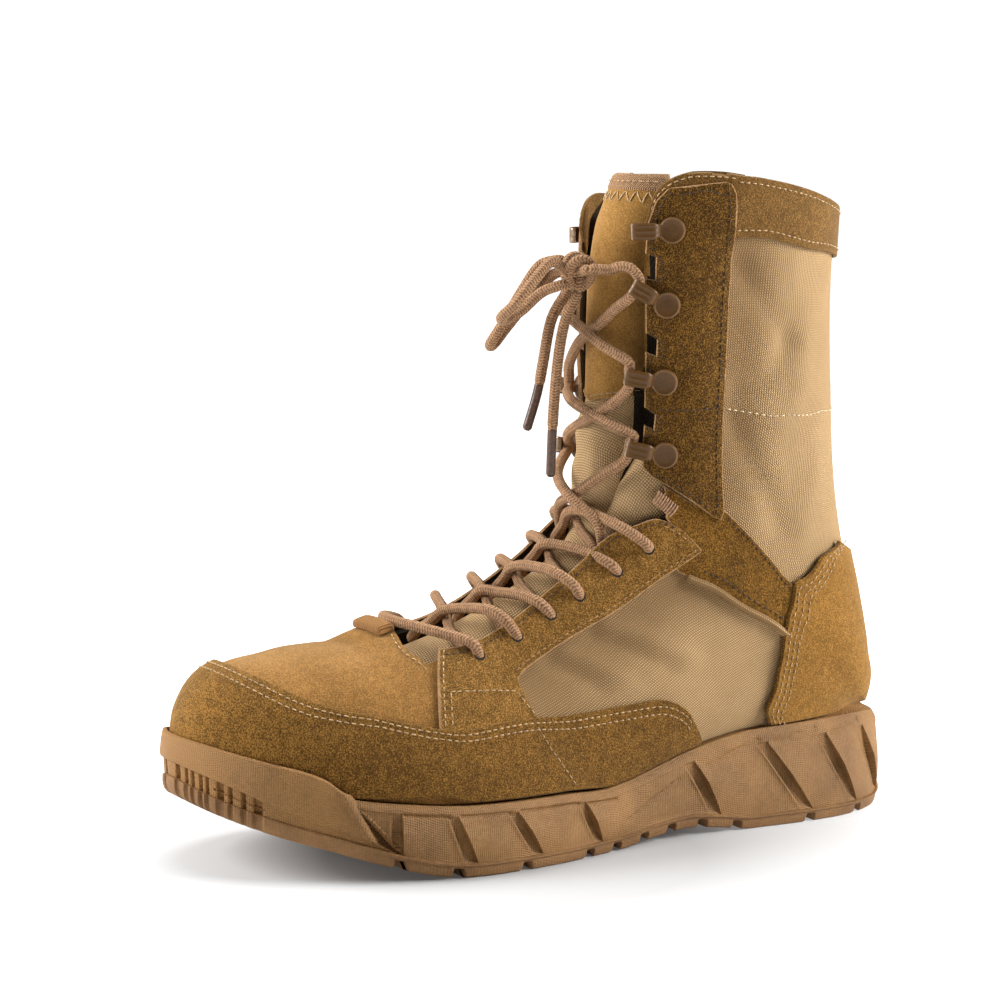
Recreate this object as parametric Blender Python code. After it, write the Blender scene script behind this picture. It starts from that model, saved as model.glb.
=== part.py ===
"""Tactical desert boot, left foot, about EU 43: suede and nylon upper on a lugged rubber sole.

Metres in Blender, millimetres in the tables. The toe points along -Y, the outer side is +X, +Z is up.
"""

import math

import bmesh
import bpy
import numpy as np

MM = 0.001
ORIGIN_SHIFT = (-1.5, -2.75, 0.0)

# Driving sizes, in millimetres.
HEEL_END = 154.5
TOE_END = -149.0
TIP_SKEW = -11.0
WALL = 2.2
GAP = 0.6
SOLE_GAP = 0.8
SUEDE = 1.4
FEATHER_INSET = 6.5
HEEL_INSET = 13.0
OUTSOLE_THICK = 5.0
INSOLE_THICK = 4.0
TONGUE_THICK = 4.5
LACE_DIAMETER = 4.2
LACE_CLEARANCE = 0.6
LACE_SINK = 0.8

# Points round the sole and the insole.
SOLE_STEPS = 60
INSOLE_STEPS = 44

# Plan of the sole, from heel to toe: station along the foot, outer edge, inner edge.
PLAN = (
    # y, outer, inner
    (149.5, 17.0, -17.0),
    (140.0, 27.5, -27.5),
    (123.0, 35.5, -34.5),
    (100.0, 38.5, -37.5),
    (70.0, 38.5, -35.5),
    (40.0, 40.0, -33.5),
    (10.0, 45.5, -36.0),
    (-20.0, 53.0, -43.5),
    (-48.0, 56.0, -50.0),
    (-72.0, 53.5, -53.0),
    (-98.0, 44.8, -51.3),
    (-118.0, 33.5, -46.8),
    (-133.0, 21.0, -39.5),
    (-143.5, 7.5, -30.0),
)

# Side profile of the sole: station, height of the tread, height of the edge where the upper sits.
PROFILE = (
    # y, ground, top
    (154.5, 5.0, 36.5),
    (147.0, 1.5, 37.5),
    (138.0, 0.0, 39.0),
    (124.0, 0.0, 39.8),
    (104.0, 0.0, 39.2),
    (75.0, 0.0, 38.0),
    (60.0, 2.0, 35.8),
    (45.0, 3.5, 32.4),
    (30.0, 2.5, 28.3),
    (14.0, 0.5, 24.6),
    (4.0, 0.0, 23.4),
    (-16.0, 0.0, 24.6),
    (-40.0, 0.0, 25.0),
    (-56.0, 0.0, 25.3),
    (-68.0, 1.0, 25.9),
    (-80.0, 3.5, 26.9),
    (-93.0, 7.0, 28.2),
    (-105.0, 10.8, 30.0),
    (-120.0, 15.2, 33.0),
    (-133.0, 19.8, 36.0),
    (-143.0, 24.2, 38.4),
    (-152.0, 29.5, 40.5),
)

# Toe bumper: station, height of its ledge, height of its top edge.
BUMPER = (
    # y, ledge, top
    (-152.0, 40.7, 49.3),
    (-145.0, 37.6, 47.8),
    (-134.0, 32.3, 44.8),
    (-126.0, 28.1, 42.6),
    (-117.0, 24.2, 40.4),
    (-110.0, 21.4, 37.5),
    (-104.0, 19.2, 33.0),
    (-98.0, 16.8, 30.5),
    (-92.0, 14.4, 28.5),
    (-80.0, 10.8, 27.2),
)
BUMPER_END_TOP = -102.0
BUMPER_END_LOW = -84.0

# Sections of the last, from the toe edge over the instep to the collar. Each lies on a line in side
# view from its front point to its rear point; widest is where along that line it is widest.
SECTIONS = (
    # front y, front z, rear y, rear z, half width, widest, front power, rear power, bow
    (-142.3, 40.2, -102.0, 0.0, 40.2, 2.10, 2.00, 2.0, 0.0),
    (-143.3, 48.0, -97.0, 0.0, 41.8, 2.00, 2.05, 2.0, 0.0),
    (-140.8, 58.0, -91.0, 0.0, 43.4, 1.70, 2.15, 2.0, 0.0),
    (-133.3, 67.5, -83.0, 0.0, 45.2, 1.40, 2.25, 2.0, 0.0),
    (-121.0, 72.5, -73.0, 0.0, 46.9, 1.15, 2.30, 2.0, 0.0),
    (-103.0, 75.0, -60.0, 0.0, 47.5, 0.98, 2.35, 2.0, 0.0),
    (-83.0, 78.5, -43.0, 0.0, 46.2, 0.92, 2.30, 2.0, 0.0),
    (-62.0, 84.5, -22.0, 0.0, 42.6, 0.88, 2.20, 2.0, 0.0),
    (-40.0, 93.0, 3.0, 0.0, 37.2, 0.84, 2.10, 2.0, 0.0),
    (-19.0, 104.0, 30.0, 0.0, 34.5, 0.78, 2.05, 2.0, 0.0),
    (-1.0, 116.0, 60.0, 0.0, 35.0, 0.72, 2.00, 2.1, 0.0),
    (11.0, 129.0, 92.0, 0.0, 36.0, 0.66, 2.00, 2.2, 0.0),
    (17.0, 141.0, 120.0, 0.0, 37.0, 0.62, 2.10, 2.4, 0.0),
    (19.5, 151.0, 141.5, 40.0, 37.5, 0.60, 2.15, 2.5, 0.0),
    (20.5, 160.0, 141.6, 58.0, 37.5, 0.58, 2.20, 2.5, 0.0),
    (21.0, 170.0, 137.0, 82.0, 38.0, 0.55, 2.20, 2.4, 0.0),
    (21.0, 182.0, 130.5, 108.0, 38.5, 0.52, 2.20, 2.3, 0.0),
    (21.0, 195.0, 127.0, 133.0, 39.0, 0.50, 2.20, 2.2, 0.0),
    (21.0, 210.0, 124.6, 163.0, 39.5, 0.50, 2.10, 2.2, 1.0),
    (21.0, 230.0, 122.8, 199.0, 40.0, 0.50, 2.00, 2.2, 2.5),
    (21.0, 251.0, 124.0, 238.5, 40.0, 0.50, 2.00, 2.2, 4.0),
)
HEEL_ROW = 13.0
HEEL_ROUND_Y = 106.0
THROAT_ROW = 6.85
COLLAR_ROW = 20.0

# Sideways place of the front line, and half the throat's opening, by section.
FRONT_LINE = (
    # row, front line x, half opening
    (0.0, -11.0, 0.0),
    (4.0, -11.0, 0.0),
    (5.0, -10.0, 0.0),
    (6.0, -8.0, 0.0),
    (6.85, -6.4, 0.0),
    (6.91, -6.2, 13.0),
    (7.05, -5.9, 24.0),
    (7.5, -5.0, 24.5),
    (8.0, -4.0, 23.0),
    (9.0, -2.5, 20.5),
    (10.0, -1.5, 19.5),
    (10.6, -1.2, 20.0),
    (11.3, -1.0, 23.5),
    (12.0, -0.5, 26.0),
    (13.0, 0.0, 23.0),
    (14.0, 0.0, 22.5),
    (19.0, 0.0, 22.5),
    (19.5, 0.0, 25.0),
    (19.8, 0.0, 29.0),
    (20.0, 0.0, 34.0),
)

# Tongue by section: half width, lift of its middle and lift of its edges over the upper's outside.
TONGUE = (
    # row, half width, middle, edge
    (6.5, 18.0, -3.0, -3.3),
    (7.0, 27.0, -2.8, -3.3),
    (8.0, 29.0, -1.4, -3.3),
    (9.0, 28.0, -1.8, -3.5),
    (11.0, 29.0, -1.4, -3.5),
    (12.0, 31.0, -0.5, -3.3),
    (13.0, 31.0, -0.5, -3.3),
    (18.0, 31.0, -0.6, -3.3),
    (19.0, 30.0, -3.0, -5.0),
    (19.6, 28.0, -6.0, -7.5),
    (20.0, 25.0, -8.0, -9.5),
)

# Grooves of the sole's side: station at the top and at the bottom of each.
SIDE_GROOVES = (
    # top y, bottom y
    (-66.0, -59.2),
    (-41.3, -30.8),
    (-8.9, -1.3),
    (45.0, 56.3),
    (79.0, 100.0),
    (107.4, 124.7),
)

# Channels across the tread: station and width.
TREAD_CHANNELS = (
    # y, width
    (-113.0, 3.5),
    (-100.0, 3.5),
    (-85.2, 3.5),
    (-64.0, 3.5),
    (-50.0, 3.5),
    (-35.5, 3.5),
    (-20.0, 3.5),
    (-5.1, 3.5),
    (84.0, 3.5),
    (102.2, 3.5),
    (115.0, 3.5),
    (128.6, 3.5),
)
CHANNEL_DEPTH = 2.6

# Toe rand, outer half from its rear end to the tip: its foot on the sole and its top edge.
RAND = (
    # foot row, foot q, top row, top q
    (9.72, 0.955, 9.72, 0.93),
    (9.30, 0.96, 9.62, 0.80),
    (8.90, 0.965, 9.45, 0.748),
    (8.30, 0.975, 9.00, 0.735),
    (7.60, 0.975, 8.20, 0.72),
    (6.60, 0.975, 7.20, 0.70),
    (5.60, 0.975, 6.30, 0.695),
    (4.60, 0.975, 5.50, 0.65),
    (3.40, 0.975, 4.90, 0.59),
    (2.00, 0.975, 4.40, 0.53),
    (0.60, 0.975, 4.10, 0.46),
    (0.10, 0.85, 3.93, 0.38),
    (0.10, 0.62, 3.80, 0.27),
    (0.10, 0.35, 3.70, 0.14),
    (0.10, 0.0, 3.66, 0.0),
)

# Heel counter's front edge, from the sole up, and the section where its top crosses the back.
COUNTER_EDGE = (
    # row, q
    (10.75, 0.945),
    (10.80, 0.86),
    (11.20, 0.76),
    (11.60, 0.69),
    (12.25, 0.62),
    (13.35, 0.58),
    (14.70, 0.62),
    (15.50, 0.71),
)
COUNTER_LOW_ROW = 13.15
COUNTER_TOP_ROW = 15.9

# Collar band, outer half from the hook flap to the back: top edge and lower edge.
COLLAR = (
    # top row, top q, low row, low q
    (19.97, 0.428, 19.22, 0.428),
    (19.97, 0.46, 19.30, 0.46),
    (19.97, 0.51, 19.35, 0.51),
    (19.97, 0.60, 19.37, 0.60),
    (19.97, 0.73, 19.45, 0.73),
    (19.97, 0.86, 19.48, 0.86),
    (19.97, 1.0, 19.50, 1.0),
)

# Eyestay from the vamp seam to its rear tab: throat edge and lower edge.
EYESTAY = (
    # throat row, throat q, low row, low q
    (7.10, 0.370, 6.02, 0.640),
    (7.28, 0.368, 6.70, 0.672),
    (7.50, 0.364, 7.50, 0.668),
    (7.80, 0.356, 7.80, 0.545),
    (8.40, 0.335, 8.62, 0.490),
    (9.60, 0.288, 9.80, 0.463),
    (10.60, 0.262, 11.00, 0.432),
    (11.40, 0.292, 11.60, 0.430),
    (11.90, 0.318, 12.00, 0.430),
    (12.15, 0.375, 12.10, 0.425),
)

# Hook flap from the collar down: throat edge with its square notches, and rear edge.
FLAP = (
    # throat row, throat q, rear row, rear q
    (19.74, 0.262, 19.86, 0.412),
    (19.55, 0.234, 19.66, 0.418),
    (19.20, 0.214, 19.25, 0.418),
    (18.72, 0.212, 18.72, 0.415),
    (18.70, 0.236, 18.70, 0.415),
    (18.32, 0.236, 18.32, 0.412),
    (18.30, 0.214, 18.30, 0.412),
    (17.17, 0.219, 17.17, 0.410),
    (17.15, 0.242, 17.15, 0.410),
    (16.72, 0.242, 16.72, 0.410),
    (16.70, 0.221, 16.70, 0.410),
    (15.17, 0.229, 15.17, 0.412),
    (15.15, 0.252, 15.15, 0.412),
    (14.62, 0.252, 14.62, 0.418),
    (14.60, 0.232, 14.60, 0.418),
    (13.60, 0.234, 13.80, 0.426),
    (13.10, 0.238, 13.40, 0.420),
    (13.00, 0.262, 13.26, 0.404),
)

# Ankle strap from under the hook flap to the heel counter: upper edge and lower edge.
STRAP = (
    # upper row, upper q, lower row, lower q
    (12.84, 0.29, 12.16, 0.325),
    (12.95, 0.34, 12.32, 0.375),
    (13.06, 0.385, 12.26, 0.437),
    (13.20, 0.43, 11.75, 0.445),
    (13.80, 0.440, 11.40, 0.462),
    (13.74, 0.480, 11.60, 0.505),
    (13.58, 0.525, 11.78, 0.565),
    (13.42, 0.562, 12.05, 0.610),
)

# Webbing tab at the throat's base.
THROAT_LOOP = (
    # inner row, inner q, outer row, outer q
    (6.56, -0.11, 6.56, 0.11),
    (6.70, -0.11, 6.70, 0.11),
    (6.84, -0.11, 6.84, 0.11),
)
LOOP_THICK = 3.2

# Lace holes from the toe up, and hooks from the ankle up: section and q, the same on both sides.
LACE_HOLES = (
    # row, q
    (7.53, 0.425),
    (8.28, 0.400),
    (8.95, 0.380),
    (9.55, 0.367),
    (10.33, 0.357),
    (11.15, 0.350),
)
HOOKS = (
    # row, q
    (14.00, 0.285),
    (16.10, 0.268),
    (17.93, 0.265),
    (19.12, 0.272),
)
HOOK_REACH = 14.8
HOOK_RISE = 6.0
HOOK_LIP = 1.6
HOOK_NECK = 4.2
HOOK_PLATE = 0.9
HOOK_WIDTH = 7.0
HOOK_LACE_SHIFT = 0.098
RIVET_DIAMETER = 9.6

# Free cord: the knot's section, q and lift, then routes from the knot: ahead, up, outward.
KNOT = (18.25, 0.04, 8.5)
KNOT_DIAMETER = 6.5
KNOT_MARKS = (
    # ahead, up, outward
    (1.0, 5.0, -5.0),
    (2.5, 1.5, -2.5),
    (2.0, -1.0, 2.0),
    (0.5, -4.0, 5.5),
)
KNOT_LEAD_OUTER = (
    # ahead, up, outward
    (-0.5, -4.5, 13.0),
    (0.1, -4.9, 7.0),
)
KNOT_LEAD_INNER = (
    # ahead, up, outward
    (0.0, 3.0, -13.0),
    (0.5, 6.1, -7.1),
)
LOOP_OUTER = (
    # ahead, up, outward
    (6.2, 0.6, 0.9),
    (9.5, 3.0, 1.6),
    (14.0, 4.6, 3.5),
    (22.0, -1.5, 6.5),
    (31.0, -10.5, 6.5),
    (37.0, -16.5, 0.5),
    (33.0, -17.5, -5.0),
    (26.0, -14.5, -5.0),
    (17.0, -7.5, -2.0),
    (9.5, -4.6, 1.2),
    (5.9, -3.8, 2.4),
)
LOOP_INNER = (
    # ahead, up, outward
    (5.7, 4.8, -4.5),
    (10.0, 4.4, -7.0),
    (16.0, 2.0, -9.0),
    (25.0, -8.0, -10.0),
    (34.0, -20.0, -11.5),
    (40.5, -28.0, -16.5),
    (37.0, -28.0, -22.0),
    (29.0, -21.5, -22.0),
    (19.0, -11.0, -16.0),
    (10.0, -1.5, -9.0),
    (5.9, 0.8, -4.2),
)
END_OUTER = (
    # ahead, up, outward
    (1.8, -6.6, 2.2),
    (4.0, -11.0, 1.5),
    (8.8, -19.6, 0.5),
    (12.6, -35.0, 0.0),
    (14.8, -56.0, 0.0),
    (15.6, -77.0, 0.0),
)
END_INNER = (
    # ahead, up, outward
    (2.4, -3.1, -2.5),
    (6.0, -9.0, -6.0),
    (12.8, -18.4, -8.0),
    (18.0, -35.0, -8.0),
    (20.5, -46.0, -8.0),
    (25.2, -60.0, -8.0),
)


def pchip(at, stations, values):
    """Smooth curve through the stations that never overshoots them."""
    x = np.asarray(stations, float)
    v = np.asarray(values, float)
    if x[0] > x[-1]:
        x, v = x[::-1], v[::-1]
    step = np.diff(x)
    rise = np.diff(v) / step
    slope = np.zeros_like(v)
    slope[0], slope[-1] = rise[0], rise[-1]
    before, after = rise[:-1], rise[1:]
    same = before * after > 0
    w1 = 2 * step[1:] + step[:-1]
    w2 = step[1:] + 2 * step[:-1]
    slope[1:-1][same] = ((w1 + w2)[same]) / (w1[same] / before[same] + w2[same] / after[same])
    at = np.clip(np.asarray(at, float), x[0], x[-1])
    k = np.clip(np.searchsorted(x, at, side="right") - 1, 0, len(x) - 2)
    f = (at - x[k]) / step[k]
    h00 = (1 + 2 * f) * (1 - f) ** 2
    h01 = f * f * (3 - 2 * f)
    h10 = f * (1 - f) ** 2
    h11 = f * f * (f - 1)
    return h00 * v[k] + h01 * v[k + 1] + step[k] * (h10 * slope[k] + h11 * slope[k + 1])


def through(points, at):
    """Catmull-Rom curve through evenly numbered points, read at fractional numbers."""
    p = np.asarray(points, float)
    p = np.vstack([2 * p[0] - p[1], p, 2 * p[-1] - p[-2]])
    at = np.asarray(at, float)
    k = np.clip(np.floor(at).astype(int), 0, len(p) - 4)
    f = (at - k)[..., None]
    a, b, c, d = p[k], p[k + 1], p[k + 2], p[k + 3]
    return 0.5 * (2 * b + (c - a) * f + (2 * a - 5 * b + 4 * c - d) * f**2 + (3 * b - a - 3 * c + d) * f**3)


PROFILE_Y = [row[0] for row in PROFILE]


def ground(y):
    return pchip(y, PROFILE_Y, [row[1] for row in PROFILE])


def sole_top(y):
    return pchip(y, PROFILE_Y, [row[2] for row in PROFILE])


def plan_loop(count):
    """Closed outline of the sole, from the heel along the outer side to the tip and back."""
    knots = [(0.0, HEEL_END)]
    knots += [(outer, y) for y, outer, inner in PLAN]
    knots += [(TIP_SKEW, TOE_END)]
    knots += [(inner, y) for y, outer, inner in reversed(PLAN)]
    knots = np.array(knots, float)
    total = len(knots)
    wrapped = np.vstack([knots[-2:], knots, knots[:3]])
    at = np.linspace(0, total, count, endpoint=False)
    return through(wrapped, at + 2)


def inset_loop(loop, inset):
    """The outline moved inward by an amount, one for all points or one for each."""
    tangent = np.roll(loop, -1, axis=0) - np.roll(loop, 1, axis=0)
    tangent /= np.linalg.norm(tangent, axis=1)[:, None]
    inward = np.stack([tangent[:, 1], -tangent[:, 0]], axis=1)
    return loop + inward * np.broadcast_to(inset, len(loop))[:, None]


FINE_LOOP = plan_loop(720)
TIP_INDEX = int(np.argmin(FINE_LOOP[:, 1]))


def feather_inset(y):
    """How far the upper's lower edge stands inside the sole, more at the heel."""
    return pchip(y, (-152.0, 95.0, 147.0, 154.5), (FEATHER_INSET, FEATHER_INSET, HEEL_INSET, HEEL_INSET))


FEATHER = inset_loop(FINE_LOOP, feather_inset(FINE_LOOP[:, 1]))


def edge_at(loop, y, side):
    """Where the outline crosses a station, on the outer (+1) or inner (-1) side."""
    part = loop[: TIP_INDEX + 1][::-1] if side > 0 else np.vstack([loop[TIP_INDEX:], loop[:1]])
    return np.interp(y, part[:, 1], part[:, 0])


ROWS = np.array(SECTIONS, float)
FRONT_ROWS = [row[0] for row in FRONT_LINE]


def row_values(u):
    v = through(ROWS, u)
    v[..., 3] = np.where(u < HEEL_ROW, sole_top(v[..., 2]) + SOLE_GAP, v[..., 3])
    return v


def front_x(u):
    return pchip(u, FRONT_ROWS, [row[1] for row in FRONT_LINE])


def half_opening(u):
    return pchip(u, FRONT_ROWS, [row[2] for row in FRONT_LINE])


def side_sizes(u, side):
    """Half width, end half width and centre line of a section on one side."""
    v = row_values(u)
    outer = edge_at(FEATHER, v[..., 2], 1)
    inner = edge_at(FEATHER, v[..., 2], -1)
    open_below = u < HEEL_ROW
    middle = np.where(open_below, (outer + inner) / 2, 0.0)
    end = np.where(open_below, np.where(side > 0, outer - middle, middle - inner), 0.0)
    end = np.maximum(end, 0.0)
    wide = np.maximum(v[..., 4], end * 1.005)
    return v, wide, end, middle


def last_point(u, q):
    """Point of the upper's outside: u is the section, q runs from the front line (0) to the edge
    or back (1), positive on the outer side and negative on the inner side."""
    u, q = np.broadcast_arrays(np.asarray(u, float), np.asarray(q, float))
    closed = u >= HEEL_ROW
    q = np.where(closed & (q > 1), q - 2, np.where(closed & (q < -1), q + 2, q))
    side = np.where(q >= 0, 1.0, -1.0)
    s = np.clip(np.abs(q), 0, 1)
    v, wide, end, middle = side_sizes(u, side)
    widest, front_power, rear_power = v[..., 5], v[..., 6], v[..., 7]
    beyond = np.maximum(widest, 1.0)
    last_turn = np.arccos(np.clip(1 - 1 / beyond, 0, 1) ** (front_power / 2))
    spread = np.sin(last_turn) ** (2 / front_power)
    reach = widest
    widest = np.clip(widest, 0.0, 1.0)
    turn = np.clip(s / np.maximum(widest, 1e-6), 0, 1) * last_turn
    back = np.clip((s - widest) / np.maximum(1 - widest, 1e-6), 0, 1) * math.pi / 2
    close = 1 - (end / wide) ** rear_power
    front = s <= widest
    x_front = wide / spread * np.sin(turn) ** (2 / front_power)
    t_front = reach * (1 - np.cos(turn) ** (2 / front_power))
    x_rear = wide * np.maximum(1 - close * np.sin(back) ** 2, 0) ** (1 / rear_power)
    t_rear = widest + (1 - widest) * np.sin(back) ** (2 / rear_power)
    x = np.where(front, x_front, x_rear)
    t = np.where(front, t_front, t_rear)
    ahead = front_x(u)
    centre = ahead + (middle - ahead) * t
    y = v[..., 0] + (v[..., 2] - v[..., 0]) * t
    z = v[..., 1] + (v[..., 3] - v[..., 1]) * t + v[..., 8] * 4 * t * (1 - t)
    return np.stack([centre + side * x, y, z], axis=-1)


def last_normal(u, q):
    """Unit normal of the upper's outside; low on the heel, where sections run together, it is radial."""
    du, dq = 0.04, 0.012
    u, q = np.broadcast_arrays(np.asarray(u, float), np.asarray(q, float))
    along = last_point(np.clip(u + du, 0, COLLAR_ROW), q) - last_point(np.clip(u - du, 0, COLLAR_ROW), q)
    around = last_point(u, q + dq) - last_point(u, q - dq)
    normal = np.cross(around, along)
    normal /= np.maximum(np.linalg.norm(normal, axis=-1), 1e-9)[..., None]
    low_heel = np.clip((np.abs(q) - 0.8) / 0.1, 0, 1) * np.clip((0.7 - np.abs(u - 12.7)) / 0.3, 0, 1)
    radial = last_point(u, q) - (0.0, HEEL_ROUND_Y, 0.0)
    radial[..., 2] = -0.15 * np.hypot(radial[..., 0], radial[..., 1])
    radial /= np.linalg.norm(radial, axis=-1)[..., None]
    normal += (radial - normal) * low_heel[..., None]
    return normal / np.maximum(np.linalg.norm(normal, axis=-1), 1e-9)[..., None]


def skin(u, q, lift):
    """Point at a height above the upper's outside."""
    return last_point(u, q) + last_normal(u, q) * np.asarray(lift, float)[..., None]


def reach_q(u, side, half):
    """Where a section is a given half width from its front line."""
    u = np.asarray(u, float)
    v, wide, end, middle = side_sizes(u, np.full(u.shape, float(side)))
    power = v[..., 6]
    beyond = np.maximum(v[..., 5], 1.0)
    last_turn = np.arccos(np.clip(1 - 1 / beyond, 0, 1) ** (power / 2))
    share = np.clip(half / wide, 0, 0.98) * np.sin(last_turn) ** (2 / power)
    return np.arcsin(share ** (power / 2)) / last_turn * np.clip(v[..., 5], 0, 1)


def material(name, colour, roughness, metallic=0.0):
    made = bpy.data.materials.new(name)
    made.use_nodes = True
    shader = made.node_tree.nodes["Principled BSDF"]
    shader.inputs["Base Color"].default_value = (*colour, 1.0)
    shader.inputs["Roughness"].default_value = roughness
    shader.inputs["Metallic"].default_value = metallic
    return made


def add_object(name, mesh, made):
    obj = bpy.data.objects.new(name, mesh)
    obj.data.materials.append(made)
    bpy.context.scene.collection.objects.link(obj)
    return obj


def mesh_of(name, points, faces):
    mesh = bpy.data.meshes.new(name)
    mesh.from_pydata(((np.asarray(points) + ORIGIN_SHIFT) * MM).tolist(), [], [list(map(int, f)) for f in faces])
    work = bmesh.new()
    work.from_mesh(mesh)
    bmesh.ops.recalc_face_normals(work, faces=work.faces)
    work.to_mesh(mesh)
    work.free()
    return mesh


def shell(name, outside, inside, quads, made):
    """Closed solid between two point sets that share the same faces; the open edges get a rim."""
    outside = np.asarray(outside, float)
    inside = np.asarray(inside, float)
    _, first, index = np.unique(np.round(outside, 4), axis=0, return_index=True, return_inverse=True)
    index = index.reshape(-1)
    outside, inside = outside[first], inside[first]
    count = len(outside)
    faces = []
    edges = {}
    for quad in quads:
        ring = []
        for corner in index[list(quad)]:
            if corner not in ring:
                ring.append(int(corner))
        if len(ring) < 3:
            continue
        faces.append(ring)
        for a, b in zip(ring, ring[1:] + ring[:1]):
            edges[(a, b)] = edges.get((a, b), 0) + 1
    solid = list(faces) + [[c + count for c in reversed(ring)] for ring in faces]
    for a, b in edges:
        if (b, a) not in edges:
            solid.append([b, a, a + count, b + count])
    return add_object(name, mesh_of(name, np.vstack([outside, inside]), solid), made)


def grid_quads(rows, columns, start=0):
    quads = []
    for i in range(rows - 1):
        for j in range(columns - 1):
            a = start + i * columns + j
            quads.append((a, a + 1, a + columns + 1, a + columns))
    return quads


def build_upper(made):
    """The lasted shell: one wall, open at the collar, the throat and underneath."""
    u = np.concatenate(
        [
            np.arange(0, 6.6, 0.5),
            [6.85, 6.91, 7.05],
            np.arange(7.5, 12.6, 0.5),
            [12.75, 12.9, 13.0, 13.6, 14.3, 15.1, 16.0, 17.0, 18.0],
            [19.0, 19.4, 19.7, 20.0],
        ]
    )
    columns = 8
    outside, inside, quads = [], [], []
    for side in (1, -1):
        edge = np.where(u <= THROAT_ROW, 0.0, reach_q(u, side, half_opening(u)))
        share = np.linspace(0, 1, columns)
        q = side * (edge[:, None] + (1 - edge[:, None]) * share[None, :])
        row = np.broadcast_to(u[:, None], q.shape)
        start = len(u) * columns if side < 0 else 0
        outside.append(last_point(row, q).reshape(-1, 3))
        inside.append(skin(row, q, np.full(q.shape, -WALL)).reshape(-1, 3))
        found = grid_quads(len(u), columns, start)
        quads += found if side > 0 else [quad[::-1] for quad in found]
    return shell("upper", np.vstack(outside), np.vstack(inside), quads, made)


def tongue_surface(u, share):
    """Front of the tongue; share runs from -1 at its inner edge to 1 at its outer edge."""
    rows = [row[0] for row in TONGUE]
    half = pchip(u, rows, [row[1] for row in TONGUE])
    middle = pchip(u, rows, [row[2] for row in TONGUE])
    edge = pchip(u, rows, [row[3] for row in TONGUE])
    q = np.where(share >= 0, reach_q(u, 1, half), reach_q(u, -1, half)) * share
    lift = edge + (middle - edge) * np.clip(1 - (share / 0.7) ** 2, 0, 1)
    return q, lift


def build_tongue(made):
    """A padded tongue behind the throat, from under its base to the collar."""
    u = np.concatenate([[6.5, 6.9, 7.3], np.arange(8.0, 20.01, 0.75)])
    columns = 7
    share = np.linspace(-1, 1, columns)
    row, part = np.meshgrid(u, share, indexing="ij")
    q, lift = tongue_surface(row, part)
    outside = skin(row, q, lift)
    inside = skin(row, q, lift - TONGUE_THICK)
    return shell("tongue", outside.reshape(-1, 3), inside.reshape(-1, 3), grid_quads(len(u), columns), made)


def slab(name, loops, made):
    """Closed solid through a stack of equal loops; its ends are strips across the foot."""
    count = len(loops[0])
    points = np.vstack(loops)
    faces = []
    for k in range(len(loops) - 1):
        for i in range(count):
            j = (i + 1) % count
            a, b = k * count + i, k * count + j
            faces.append((a, b, b + count, a + count))
    last = (len(loops) - 1) * count
    half = count // 2
    for start, flip in ((0, True), (last, False)):
        for i in range(half):
            a, b = start + i, start + i + 1
            c, d = start + (count - i - 1) % count, start + (count - i) % count
            ring = []
            for corner in (a, b, c, d):
                if corner not in ring:
                    ring.append(corner)
            if len(ring) > 2:
                faces.append(ring[::-1] if flip else ring)
    return add_object(name, mesh_of(name, points, faces), made)


def boxes(name, items):
    """One mesh of separate slanted boxes, each with a centre, three axes and three half sizes."""
    points, faces = [], []
    for centre, axes, halves in items:
        start = len(points)
        for a in (-1, 1):
            for b in (-1, 1):
                for c in (-1, 1):
                    step = axes[0] * halves[0] * a + axes[1] * halves[1] * b + axes[2] * halves[2] * c
                    points.append(np.asarray(centre) + step)
        for ring in ((0, 1, 3, 2), (4, 6, 7, 5), (0, 4, 5, 1), (2, 3, 7, 6), (0, 2, 6, 4), (1, 5, 7, 3)):
            faces.append([start + corner for corner in ring])
    obj = bpy.data.objects.new(name, mesh_of(name, points, faces))
    bpy.context.scene.collection.objects.link(obj)
    return obj


def combine(obj, others, operation):
    """Boolean with helper objects, which are then removed."""
    for other in others:
        step = obj.modifiers.new(operation.lower(), "BOOLEAN")
        step.operation = operation
        step.solver = "EXACT"
        step.object = other
    bpy.context.view_layer.update()
    graph = bpy.context.evaluated_depsgraph_get()
    mesh = bpy.data.meshes.new_from_object(obj.evaluated_get(graph))
    obj.modifiers.clear()
    mesh.name = obj.name
    obj.data = mesh
    for other in others:
        bpy.data.objects.remove(other, do_unlink=True)
    return obj


def sweep_rings(name, rings, made, fan=False):
    """Closed solid through a row of closed rings; fan splits every face the same way, for twisted rings."""
    rings = np.asarray(rings, float)
    count, around = rings.shape[:2]
    faces = []
    for i in range(count - 1):
        for j in range(around):
            k = (j + 1) % around
            a = i * around
            quad = (a + j, a + k, a + around + k, a + around + j)
            faces += [quad[:3], (quad[0], quad[2], quad[3])] if fan else [quad]
    ends = [(around - 1, j, j + 1) for j in range(around - 2)] if fan else [tuple(range(around))]
    for ring in ends:
        faces.append(ring[::-1])
        faces.append([(count - 1) * around + corner for corner in ring])
    return add_object(name, mesh_of(name, rings.reshape(-1, 3), faces), made)


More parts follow.
